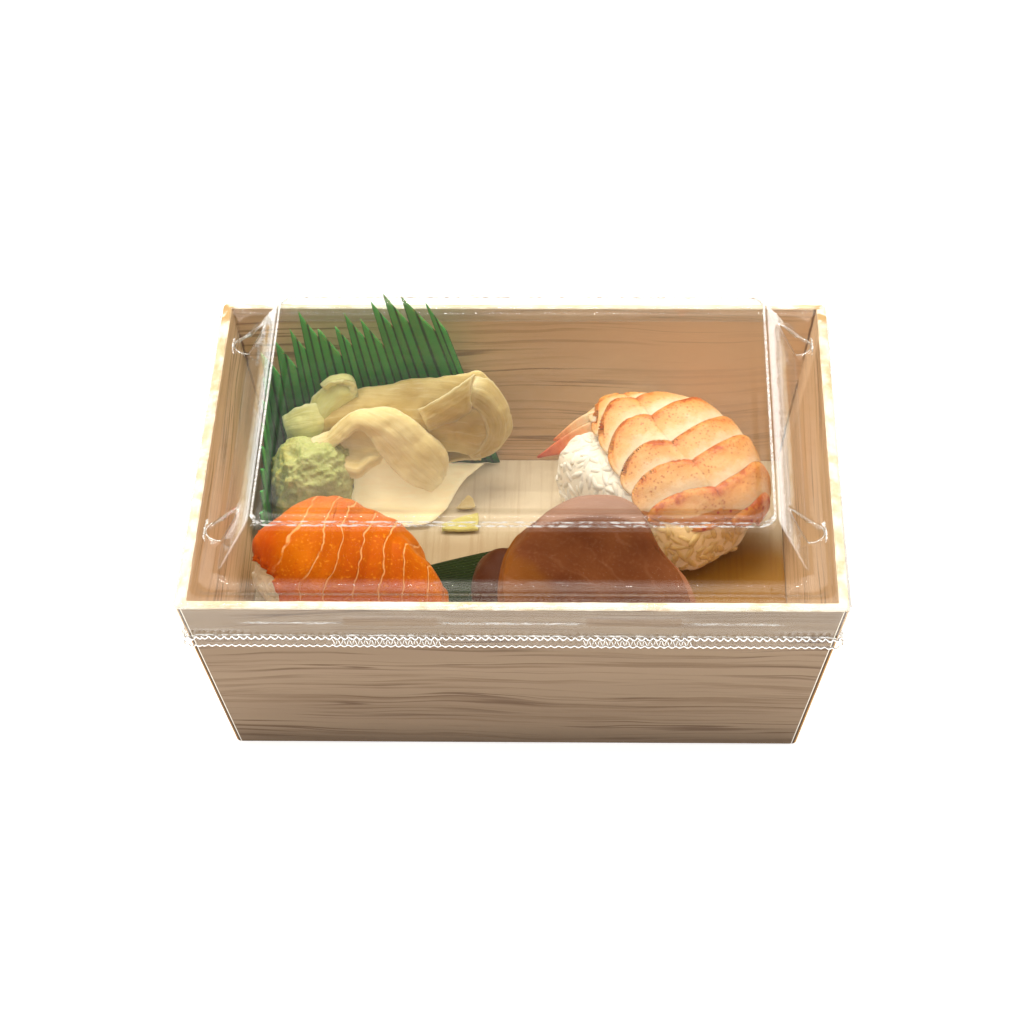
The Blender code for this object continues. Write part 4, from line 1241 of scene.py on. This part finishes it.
def shrimp_half(name, lines, bend, lap, finish, *replaces):
    """Half of the opened flesh, through lines from the split out, in overlapping bands."""
    surface = loft(lines, 190, 90)
    s, side = over(190, 90, 0.3)
    place = s - bend[0] * side - bend[1] * side ** 2
    starts = [-0.25, *BAND_STARTS, 1.25]
    phase = np.interp(place, starts, np.arange(len(starts)))
    part = phase - np.floor(phase)
    out = normals(surface)
    out = out * np.sign(out[95, 30, 2])
    outward = np.gradient(surface, axis=1)
    outward /= np.maximum(np.linalg.norm(outward, axis=-1, keepdims=True), 1e-9)
    lobe = np.sin(math.pi * np.clip(part * 0.92 + 0.04, 0, 1)) ** 0.7 - 0.6
    surface = surface + outward * (lap * lobe * ease(side, 0.7, 1.0))[..., None]
    step = (1 - part) * ease(part, 0.0, 0.05)
    fall = 0.8 * np.exp(-(side / 0.06) ** 2)
    edge = edge_round(s, 0.03) * np.sqrt(np.clip(1.0 - side ** 10, 0, 1))
    thick = 3.8 * np.maximum(edge, 0.12)
    rise = 1.15 * step - fall + 0.3 * lumps(surface, 6.0, 2.0) - 0.5 - thick / 2
    middle = surface + out * rise[..., None]
    fields = {"band": part, "seam": np.exp(-(side / 0.16) ** 2) * ease(part, 0.5, 0.05),
              "front": ease(s, 0.88, 0.97)}
    settle(make_slab(name, middle, thick, finish, fields), "shrimp", *replaces)


def make_shrimp():
    """The opened shrimp: two halves of overlapping bands along a split, and a tail."""
    split = [(29, 51, 40.5), (32, 46.5, 42.5), (34.7, 42, 43.5), (39, 32, 43.5), (46.2, 20, 42),
             (51.9, 14, 40), (57.5, 8, 35), (60, 4.5, 28)]
    left = [[(24.5, 50, 40), (27, 45, 41.5), (29, 38.5, 41.5), (33, 28.5, 41.5), (39, 17, 39),
             (44, 9.5, 36), (48, 4, 31), (50, 2, 27)],
            [(19.5, 46, 37.5), (20.5, 40, 37.5), (24, 29.5, 37), (27, 21, 36), (30.5, 13.5, 34),
             (34, 8, 31.5), (37, 4.5, 28.5)]]
    right = [[(37, 51, 41), (43, 46, 43.5), (48, 40, 44.5), (54, 32, 43.5), (60, 24.5, 40.5),
              (64, 18, 37), (67, 11.5, 31), (66.5, 7.5, 25)],
             [(44.5, 54, 37), (50, 51, 38.5), (55.5, 47, 39), (62.5, 38.5, 38), (67.5, 31.5, 36),
              (70.8, 25, 31), (72, 19.5, 26), (70, 13, 23)],
             [(47, 57, 29), (52, 55, 27), (58, 50, 26.5), (65, 41.5, 26), (70.5, 34, 26),
              (73.3, 27, 24), (72.5, 20, 22), (69.5, 13, 20.5)]]
    finish = shrimp_finish()
    shrimp_half("shrimp_flesh_left", [split, *left], (-0.22, 0.36), 1.6, finish, "shrimp")
    shrimp_half("shrimp_flesh_right", [split, *right], (-0.28, 0.12), 1.2, finish)
    tail = tail_finish()
    fins = (("tail_fin_low", (24.0, 42.0, 35.5), (4.2, 39.5, 25.0), 2.6, -1.0),
            ("tail_fin_high", (26.0, 44.5, 38.0), (9.0, 42.0, 29.5), 2.4, 0.6))
    for name, root, tip, half_width, arch in fins:
        s, t = over(40, 16, 0.5)
        root, tip = np.array(root), np.array(tip)
        line = mix(root, tip, s[..., None])
        width = half_width * (0.55 + 0.6 * np.sin(math.pi * np.minimum(s + 0.1, 1.0)))
        width = width * np.sqrt(np.clip(1.02 - s ** 3, 0, 1))
        reach = (2 * t - 1) * width
        middle = line + reach[..., None] * np.array([-0.45, 0.55, 0.70])
        middle[..., 2] += arch * np.sin(math.pi * s) * 0.5
        thick = 1.1 * edge_round(s, 0.1) * edge_round(t, 0.2)
        fields = {"along": 1 - s + 0.35 * (name == "tail_fin_high")}
        settle(make_slab(name, middle, thick, tail, fields), "shrimp")


# ------------------------------------------------------------------ ginger

def ginger_finish(name, thin, thick, edge, glow=0.0):
    """Pickled ginger: a wet, see-through slice with faint fibres, painted lighter as a sheen where
    it turns away and near its edges, with an optional painted glow.
    """
    finish = Finish(name, Roughness=0.30, Specular_IOR_Level=0.3, Emission_Strength=glow,
                    Subsurface_Weight=0.3, Subsurface_Scale=0.006)
    finish.shader.inputs["Subsurface Radius"].default_value = (1.0, 0.85, 0.5)
    cloud = finish.noise(finish.place(), 95.0, 3.0)
    strand = finish.node("CombineXYZ", {"X": finish.math("MULTIPLY", finish.field("across"), 38.0),
                                        "Y": finish.math("MULTIPLY", finish.field("along"), 3.0),
                                        "Z": finish.math("MULTIPLY", cloud, 2.0)}).outputs[0]
    fibre = finish.noise(strand, 1.0, 3.0, 0.6)
    base = finish.ramp(cloud, (0.32, thick), (0.68, thin))
    base = finish.blend(finish.between(fibre, 0.50, 0.75, 0.0, 0.4), base, edge)
    base = finish.blend(finish.between(fibre, 0.46, 0.28, 0.0, 0.25), base, thick)
    # Painted sheen: the slice is painted paler where it turns away and near its edges, standing in
    # for highlights along them.
    facing = finish.node("LayerWeight", {"Blend": 0.5}).outputs["Facing"]
    base = finish.blend(finish.between(facing, 0.35, 0.95, 0.0, 0.6), base, edge)
    base = finish.blend(finish.between(finish.field("brim"), 0.0, 1.0, 0.0, 0.55), base, edge)
    finish.colour(base)
    finish.shader.inputs["Emission Color"].default_value = edge
    finish.relief((cloud, 0.0006), (fibre, 0.00016))
    return finish.made


def make_sheet(name, lines, finish, size=(80, 60), thickness=1.2, sway=0.6, seed=0.0,
               node=None, slot="ginger", fray=0.35):
    """A thin slice through lines given in millimetres, uneven and a little frayed."""
    middle = loft(lines, *size)
    s, t = over(*size, 0.3)
    rough = lumps(middle, 2.2, seed + 3.0, 3)
    for edge, inward in ((s, np.gradient(middle, axis=0)), (t, np.gradient(middle, axis=1))):
        step = inward / np.maximum(np.linalg.norm(inward, axis=-1, keepdims=True), 1e-9)
        near = ease(edge, 0.94, 1.0) - ease(edge, 0.06, 0.0)
        middle = middle + step * (fray * rough * near)[..., None]
    furrow = np.abs(wave(t * 26 + 3 * lumps(middle, 12.0, seed + 5.0), 4.0, seed, 2))
    rise = sway * (lumps(middle, 7.0, seed, 3) + 0.35 * furrow)
    middle = middle + normals(middle) * rise[..., None]
    middle[..., 2] = np.maximum(middle[..., 2], FOOD_BASE + 0.3)
    thick = thickness * edge_round(s, 0.05) * edge_round(t, 0.06)
    brim = 1 - np.minimum(np.minimum(s, 1 - s), np.minimum(t, 1 - t)) / 0.12
    fields = {"along": s + seed, "across": t + seed, "brim": np.clip(brim, 0.0, 1.0)}
    piece = make_slab(name, middle, thick, finish, fields)
    settle(piece, slot, *([node] if node else []))


def make_ginger():
    """The pile of pickled ginger at the back left, and scraps of it on the floor."""
    cream = ginger_finish("ginger_cream", tone(224, 198, 134), tone(198, 168, 100),
                          tone(240, 224, 176))
    # The lighter and green ginger carry a faint painted glow, standing in for light through the
    # thin slices.
    light = ginger_finish("ginger_light", tone(242, 216, 152), tone(220, 190, 122),
                          tone(250, 234, 188), 0.08)
    green = ginger_finish("ginger_green", tone(226, 220, 150), tone(206, 200, 116),
                          tone(238, 236, 188), 0.06)
    roll = [[(-64, 55, 26), (-50, 55, 28), (-36, 55, 30), (-22, 55, 32), (-12, 54, 37),
             (-8, 53, 36)],
            [(-66, 51, 31), (-58, 51, 37), (-51, 51, 40), (-40, 51, 43), (-29, 51, 45),
             (-19, 51, 46), (-13, 51, 48), (-8.5, 51, 43)],
            [(-65, 46, 29), (-54, 45, 35), (-44, 44, 37), (-34, 43, 37), (-24, 43, 37),
             (-15, 43, 38), (-9, 45, 37), (-5, 48.5, 35)],
            [(-64, 44, 27), (-55, 44, 30), (-46, 43, 30), (-37, 43, 27), (-28, 43, 25),
             (-20, 43, 24), (-13, 44, 22), (-7.5, 47, 23)]]
    lobe = [[(-14, 49, 48), (-10, 50, 46), (-6, 50, 40), (-4, 50, 34), (-4, 50, 27),
             (-7, 50, 22), (-14, 49, 20)],
            [(-15, 45, 46), (-11, 45, 44), (-8, 45, 39), (-6.5, 45, 33), (-7, 45, 27),
             (-10, 45, 22.5), (-15, 45, 20.5)],
            [(-16, 43, 42), (-14, 43, 40), (-12, 43, 37), (-11, 43, 32), (-12, 43, 28),
             (-14, 43, 25), (-17, 43, 23)]]
    flap = [[(-31, 43, 40), (-25, 43, 44), (-19, 44, 48), (-14, 46, 51)],
            [(-29, 41, 37), (-24, 41, 40), (-19, 42, 43), (-15, 43, 46)],
            [(-28, 42, 33), (-24, 42, 35), (-19, 42, 37), (-15, 43, 39)]]
    arch = [[(-60, 42, 31), (-54, 43, 34), (-49, 44, 38), (-42, 44, 39), (-34, 44, 36),
             (-27, 43, 29), (-23, 42, 22), (-23, 41, 17)],
            [(-63, 38, 32), (-58, 38, 33.5), (-54, 38, 37.5), (-49, 38, 42), (-42, 38, 43),
             (-34, 38, 40), (-27, 38, 33), (-23, 38, 26), (-23, 38, 19)],
            [(-62, 36, 31.5), (-57, 36, 33), (-53, 36, 36.5), (-48, 35, 40.5), (-42, 34, 40),
             (-36, 33, 35), (-31, 32.5, 30), (-26.5, 33, 24), (-24.5, 34, 19)],
            [(-61, 35, 31), (-56, 35, 32), (-52, 35, 35), (-48, 35, 38.5), (-45, 34.5, 36),
             (-42, 32.5, 32), (-38, 30.5, 27), (-33, 29.5, 22.5), (-27, 31, 18.5)]]
    tongue = [[(-57, 40, 34), (-53, 40, 37), (-48, 40, 39.5), (-44, 40, 37), (-40, 40, 33)],
              [(-58, 38.5, 30), (-53, 39.5, 29), (-48, 39.5, 28), (-44, 39, 28), (-40, 38, 28)],
              [(-58, 34, 30.5), (-53, 31, 27.5), (-49, 30, 26.5), (-45, 31.5, 29.5),
               (-41, 34, 29)],
              [(-57, 33, 28), (-53, 31.5, 24.5), (-49, 31, 23.5), (-45, 32.5, 26),
               (-42, 34, 27)]]
    petal = [[(-51, 26, 11), (-43, 24, 11.5), (-35, 24, 11), (-28, 25, 11.5), (-23, 32, 11)],
             [(-51, 31, 15), (-44, 30, 17), (-36, 31, 17), (-27, 34, 15), (-20, 40, 12)],
             [(-50, 36, 21), (-44, 37, 23), (-36, 38, 21), (-27, 41, 16), (-17, 47, 12)],
             [(-48, 40, 28), (-42, 41, 28), (-34, 44, 24), (-25, 49, 16), (-12, 53, 12.5)]]
    curl_left = [[(-72, 50, 32), (-67, 50, 36), (-61, 50, 37), (-58, 50, 35)],
                 [(-71, 47, 29), (-66, 45, 32), (-61, 45, 33), (-57, 47, 32)],
                 [(-71, 48, 25), (-66, 46, 24), (-61, 46, 25), (-58, 48, 28)]]
    curl_right = [[(-64, 51, 33), (-63, 52, 38), (-59, 52, 42), (-54, 52, 45), (-51, 51, 44)],
                  [(-63, 49, 29), (-60, 47, 34), (-57, 47, 38), (-53, 48, 42), (-50, 49, 42)],
                  [(-62, 49, 25), (-59, 47, 28), (-56, 47, 33), (-53, 48, 38), (-50, 49, 40)]]
    rim = [[(-60, 52, 42), (-56, 52, 45), (-52, 51.5, 46), (-50, 50, 42)],
           [(-59, 50, 42.5), (-55, 49, 45), (-51, 48.5, 45), (-50, 48.5, 40)]]
    slab_lines = [[(-25, 49, 15), (-19, 50, 16), (-13, 50, 16)],
                  [(-25, 53, 16.5), (-19, 54, 18), (-13, 54, 19)]]
    scrap = [[(-24, 22.5, 10.9), (-19, 22, 10.9), (-13, 22.5, 10.9)],
             [(-24, 24, 11.6), (-18, 27, 12.2), (-13, 29.5, 11.8)]]
    chip = [[(-20, 33, 10.9), (-17, 32.5, 10.9), (-14, 33.5, 10.9)],
            [(-18, 35, 12), (-16.5, 37, 12.6), (-15, 36, 12)]]
    make_sheet("ginger_roll_slice", roll, cream, (100, 80), 1.3, 0.7, 1.0, "ginger_roll")
    make_sheet("ginger_lobe_slice", lobe, cream, (70, 50), 1.3, 0.5, 7.0)
    make_sheet("ginger_flap_slice", flap, cream, (50, 40), 0.9, 0.4, 8.0)
    make_sheet("ginger_fold_slice", arch, light, (110, 80), 1.1, 0.6, 2.0, "ginger_fold")
    # The petal's paler copy of the ginger, with a strong painted glow, is painted light for a slice
    # that lies in shade.
    pale = ginger_finish("ginger_pale", tone(252, 230, 176), tone(246, 216, 152),
                         tone(255, 238, 194), 0.3)
    make_sheet("ginger_tongue_slice", tongue, light, (44, 36), 0.9, 0.3, 12.0)
    make_sheet("ginger_petal_slice", petal, pale, (90, 70), 1.1, 0.4, 3.0, "ginger_petal")
    make_sheet("ginger_curl_slice", curl_left, green, (50, 50), 1.3, 0.6, 4.0, "ginger_curl")
    make_sheet("ginger_curl_upper", curl_right, green, (60, 50), 1.2, 0.5, 9.0)
    make_sheet("ginger_curl_rim", rim, green, (40, 30), 2.4, 0.3, 10.0)
    make_sheet("ginger_slab_slice", slab_lines, cream, (30, 24), 1.2, 0.2, 5.0, "ginger_slab")
    make_sheet("ginger_scrap_slice", scrap, scrap_finish(), (30, 24), 1.3, 0.15, 6.0,
               "ginger_scrap", "ginger_scrap")
    make_sheet("ginger_scrap_chip", chip, cream, (24, 20), 1.2, 0.1, 11.0)


def scrap_finish():
    """The yellower scrap of ginger on the floor."""
    return ginger_finish("ginger_scrap", tone(214, 202, 110), tone(190, 172, 66),
                         tone(226, 216, 140))


# ------------------------------------------------------------------ wasabi

WASABI_HALF = (13.0, 10.8, 12.2)
WASABI_SPOT = (-62.0, 34.5)
WASABI_TURN = 10.0


def make_wasabi():
    """The lump of wasabi paste, smeared and crumbly."""
    finish = Finish("wasabi", Roughness=0.55, Subsurface_Weight=0.2, Subsurface_Scale=0.003)
    finish.shader.inputs["Subsurface Radius"].default_value = (0.7, 1.0, 0.4)
    cloud = finish.noise(finish.place(), 130.0, 4.0, 0.6)
    grit = finish.noise(finish.place(), 900.0, 3.0)
    base = finish.ramp(cloud, (0.30, tone(152, 158, 80)), (0.52, tone(188, 190, 116)),
                       (0.74, tone(208, 210, 144)))
    base = finish.blend(finish.between(grit, 0.56, 0.7, 0.0, 0.35), base, tone(200, 206, 150))
    base = finish.blend(finish.between(grit, 0.42, 0.3, 0.0, 0.4), base, tone(110, 122, 60))
    left = finish.math("MULTIPLY", finish.between(finish.axis("X"), -0.065, -0.072),
                       finish.between(cloud, 0.46, 0.54))
    base = finish.blend(finish.math("MULTIPLY", left, 0.7), base, tone(198, 182, 84))
    finish.colour(base)
    finish.relief((cloud, 0.0009), (grit, 0.0004))
    shape = bmesh.new()
    bmesh.ops.create_icosphere(shape, subdivisions=6, radius=1.0)
    start = np.array([point.co for point in shape.verts])
    flat = power(start, 0.74) * np.array(WASABI_HALF)
    flat[:, 2] = np.where(flat[:, 2] > 0, flat[:, 2] * 1.62, flat[:, 2] * 0.35)
    flat[:, 0] -= 1.5 * ease(flat[:, 2], 14.0, 0.0)
    swell = 1 + 0.09 * lumps(start, 0.8, 2.0, 2) + 0.06 * lumps(start, 0.3, 5.0, 3)
    flat = flat * swell[:, None]
    terrace = 1.1 * np.abs(lumps(flat, 3.8, 11.0, 3)) + 0.5 * np.abs(lumps(flat, 1.5, 12.0, 2))
    flat = flat - start * terrace[:, None]
    turn = math.radians(WASABI_TURN)
    spot = joined(flat[:, 0] * math.cos(turn) - flat[:, 1] * math.sin(turn) + WASABI_SPOT[0],
                  flat[:, 0] * math.sin(turn) + flat[:, 1] * math.cos(turn) + WASABI_SPOT[1],
                  np.maximum(flat[:, 2] + FOOD_BASE + 3.8, FOOD_BASE))
    faces = [[point.index for point in face.verts] for face in shape.faces]
    shape.free()
    settle(make_piece("wasabi_paste", spot, faces, finish.made), "wasabi", "wasabi")


# ------------------------------------------------------------------ leaf and grass

def make_leaf():
    """A strip cut from a dark leaf, on the floor under the front row."""
    finish = Finish("leaf", Roughness=0.45, Specular_IOR_Level=0.12)
    vein = finish.math("SINE", finish.math("MULTIPLY", finish.field("across"), 2 * math.pi * 22))
    cloud = finish.noise(finish.place((60.0, 200.0, 60.0)), 1.0, 3.0)
    base = finish.ramp(cloud, (0.3, tone(16, 26, 0)), (0.7, tone(28, 40, 0)))
    base = finish.blend(finish.between(vein, 0.2, 1.0, 0.0, 0.4), base, tone(46, 64, 14))
    finish.colour(base)
    finish.relief((vein, 0.00012))
    tip, stem = np.array([-50.0, -8.0]), np.array([10.0, 2.0])
    along = (stem - tip) / np.linalg.norm(stem - tip)
    across = np.array([-along[1], along[0]])
    s, t = over(70, 40)
    reach = (2 * t - 1) * 15.0 * (0.06 + 0.94 * np.sin(s * math.pi / 2) ** 0.8)
    flat = tip + (stem - tip) * s[..., None] + across * reach[..., None]
    z = FOOD_BASE + 0.35 + 0.25 * np.cos(6 * t) + 0.15 * np.sin(9 * s)
    middle = joined(flat[..., 0], flat[..., 1], z)
    thick = 0.45 * edge_round(s, 0.02) * edge_round(t, 0.03)
    settle(make_slab("leaf_cut", middle, thick, finish.made, {"across": t}), "leaf",
           "leaf_strip")


BLADE_PITCH = 5.9
# Where each blade's tip stands along the sheet from its right end, and how high
BACK_TIPS = ((4.1, 60.5), (12.5, 62.3), (18.8, 63.4), (24.2, 60.5), (29.9, 54.0), (35.2, 56.0),
             (39.8, 52.0), (46.3, 51.5), (51.7, 56.5), (56.0, 50.0))
CORNER_BLADES = 9
CUT_DEPTH = 10.5


def grass_finish():
    """Thin green plastic: lighter at the tips, with dark creases down each blade."""
    finish = Finish("grass_plastic", Roughness=0.36, Specular_IOR_Level=0.25,
                    Subsurface_Weight=0.15, Subsurface_Scale=0.002)
    share = finish.field("share")
    crease = finish.field("crease")
    base = finish.ramp(share, (0.0, tone(34, 110, 48)), (0.6, tone(54, 148, 68)),
                       (1.0, tone(78, 186, 94)))
    grit = finish.noise(finish.place((200.0, 200.0, 60.0)), 1.0, 3.0)
    base = finish.blend(finish.between(grit, 0.4, 0.7, 0.0, 0.3), base, tone(56, 136, 72))
    base = finish.blend(finish.between(crease, 0.11, 0.02, 0.0, 0.85), base, tone(12, 50, 24))
    finish.colour(base)
    return finish.made


def grass_foot(distance):
    """The sheet's foot: along the back wall from its right end, then round the corner."""
    right, corner, radius, back = -7.5, -68.0, 7.0, 57.0
    straight = right - corner
    bend = radius * math.pi / 2
    if distance < straight:
        return np.array([right - distance, back]), np.array([0.0, 1.0])
    if distance < straight + bend:
        angle = math.pi / 2 + (distance - straight) / radius
        side = np.array([math.cos(angle), math.sin(angle)])
        return np.array([corner, back - radius]) + side * radius, side
    run = distance - straight - bend
    return np.array([corner - radius, back - radius - run]), np.array([-1.0, 0.0])


def make_grass():
    """The plastic grass: a thin standing sheet, creased and cut into pointed blades."""
    back_length = 59.0
    tips = list(BACK_TIPS)
    tips += [(BACK_TIPS[-1][0] + BLADE_PITCH * (k + 1), mix(46.0, 18.0, k / (CORNER_BLADES - 1)))
             for k in range(CORNER_BLADES)]
    columns = []
    start = 0.0
    for number, (end, tip) in enumerate(tips):
        width = end - start
        cut = CUT_DEPTH * min(1.25, width / BLADE_PITCH) * min(1.0, tip / 45.0)
        blunt = 0.86 if number in (6, 7) else 1.0
        for share in (0.0, 0.12, 0.25, 0.38, 0.5, 0.62, 0.75, 0.87, 0.95):
            rise = min((share / 0.95) ** 0.9, blunt)
            if number == 0:
                rise = mix(-0.55, 1.0, share / 0.95)
            columns.append((start + share * width, tip - cut * (1 - rise), share))
        start = end
    columns.append((start, columns[-1][1] * 0.8, 1.0))
    levels = np.linspace(0.0, 1.0, 26)
    front = np.zeros((len(columns), len(levels), 3))
    fields = {"share": np.zeros(front.shape[:2]), "crease": np.zeros(front.shape[:2])}
    for i, (distance, top, share) in enumerate(columns):
        foot, side = grass_foot(distance)
        slant = mix(0.30, 0.10, min(1.0, distance / back_length)) * abs(side[1])
        lean = 0.05 if side[0] < -0.5 else -0.015
        forward = 0.35 * max(0.0, distance - back_length - 12.0) / back_length
        height = levels * top
        ridge = 1.0 * abs(share - 0.48)
        spot = foot[None, :] + side[None, :] * (lean * height + ridge - 0.6)[:, None]
        front[i] = joined(spot[:, 0] - slant * height, spot[:, 1] - forward * height,
                          FOOD_BASE + height)
        fields["share"][i] = levels
        fields["crease"][i] = min(share, 1 - share, abs(share - 0.5))
    thick = np.full(front.shape[:2], 0.35)
    piece = make_slab("grass_sheet", front, thick, grass_finish(), fields)
    settle(piece, "grass_plastic", "grass_divider")


# ------------------------------------------------------------------ make

def main():
    make_camera()
    make_surroundings()
    make_walls()
    finish_floor()
    make_lid()
    salmon = Block(half_length=25.5, half_width=14.5, height=23.5, centre=(-50.4, -12.4),
                   turn=-4.0, base=LEAF_TOP, square=1.0, slope=0.55)
    tuna = Block(half_length=21.5, half_width=13.0, height=24.0, centre=(21.0, -10.5),
                 turn=-2.0, base=LEAF_TOP, square=0.98, slope=0.12)
    shrimp = Block(half_length=28.5, half_width=18.5, height=25.0, centre=(39.1, 27.5),
                   turn=-46.0, base=FOOD_BASE, square=0.42, slope=-0.03, flat=0.60, drop=0.40,
                   taper=0.14)
    make_rice({"salmon_rice": salmon, "tuna_rice": tuna, "shrimp_rice": shrimp})
    make_salmon()
    make_tuna()
    make_shrimp()
    make_ginger()
    make_wasabi()
    make_leaf()
    make_grass()


main()
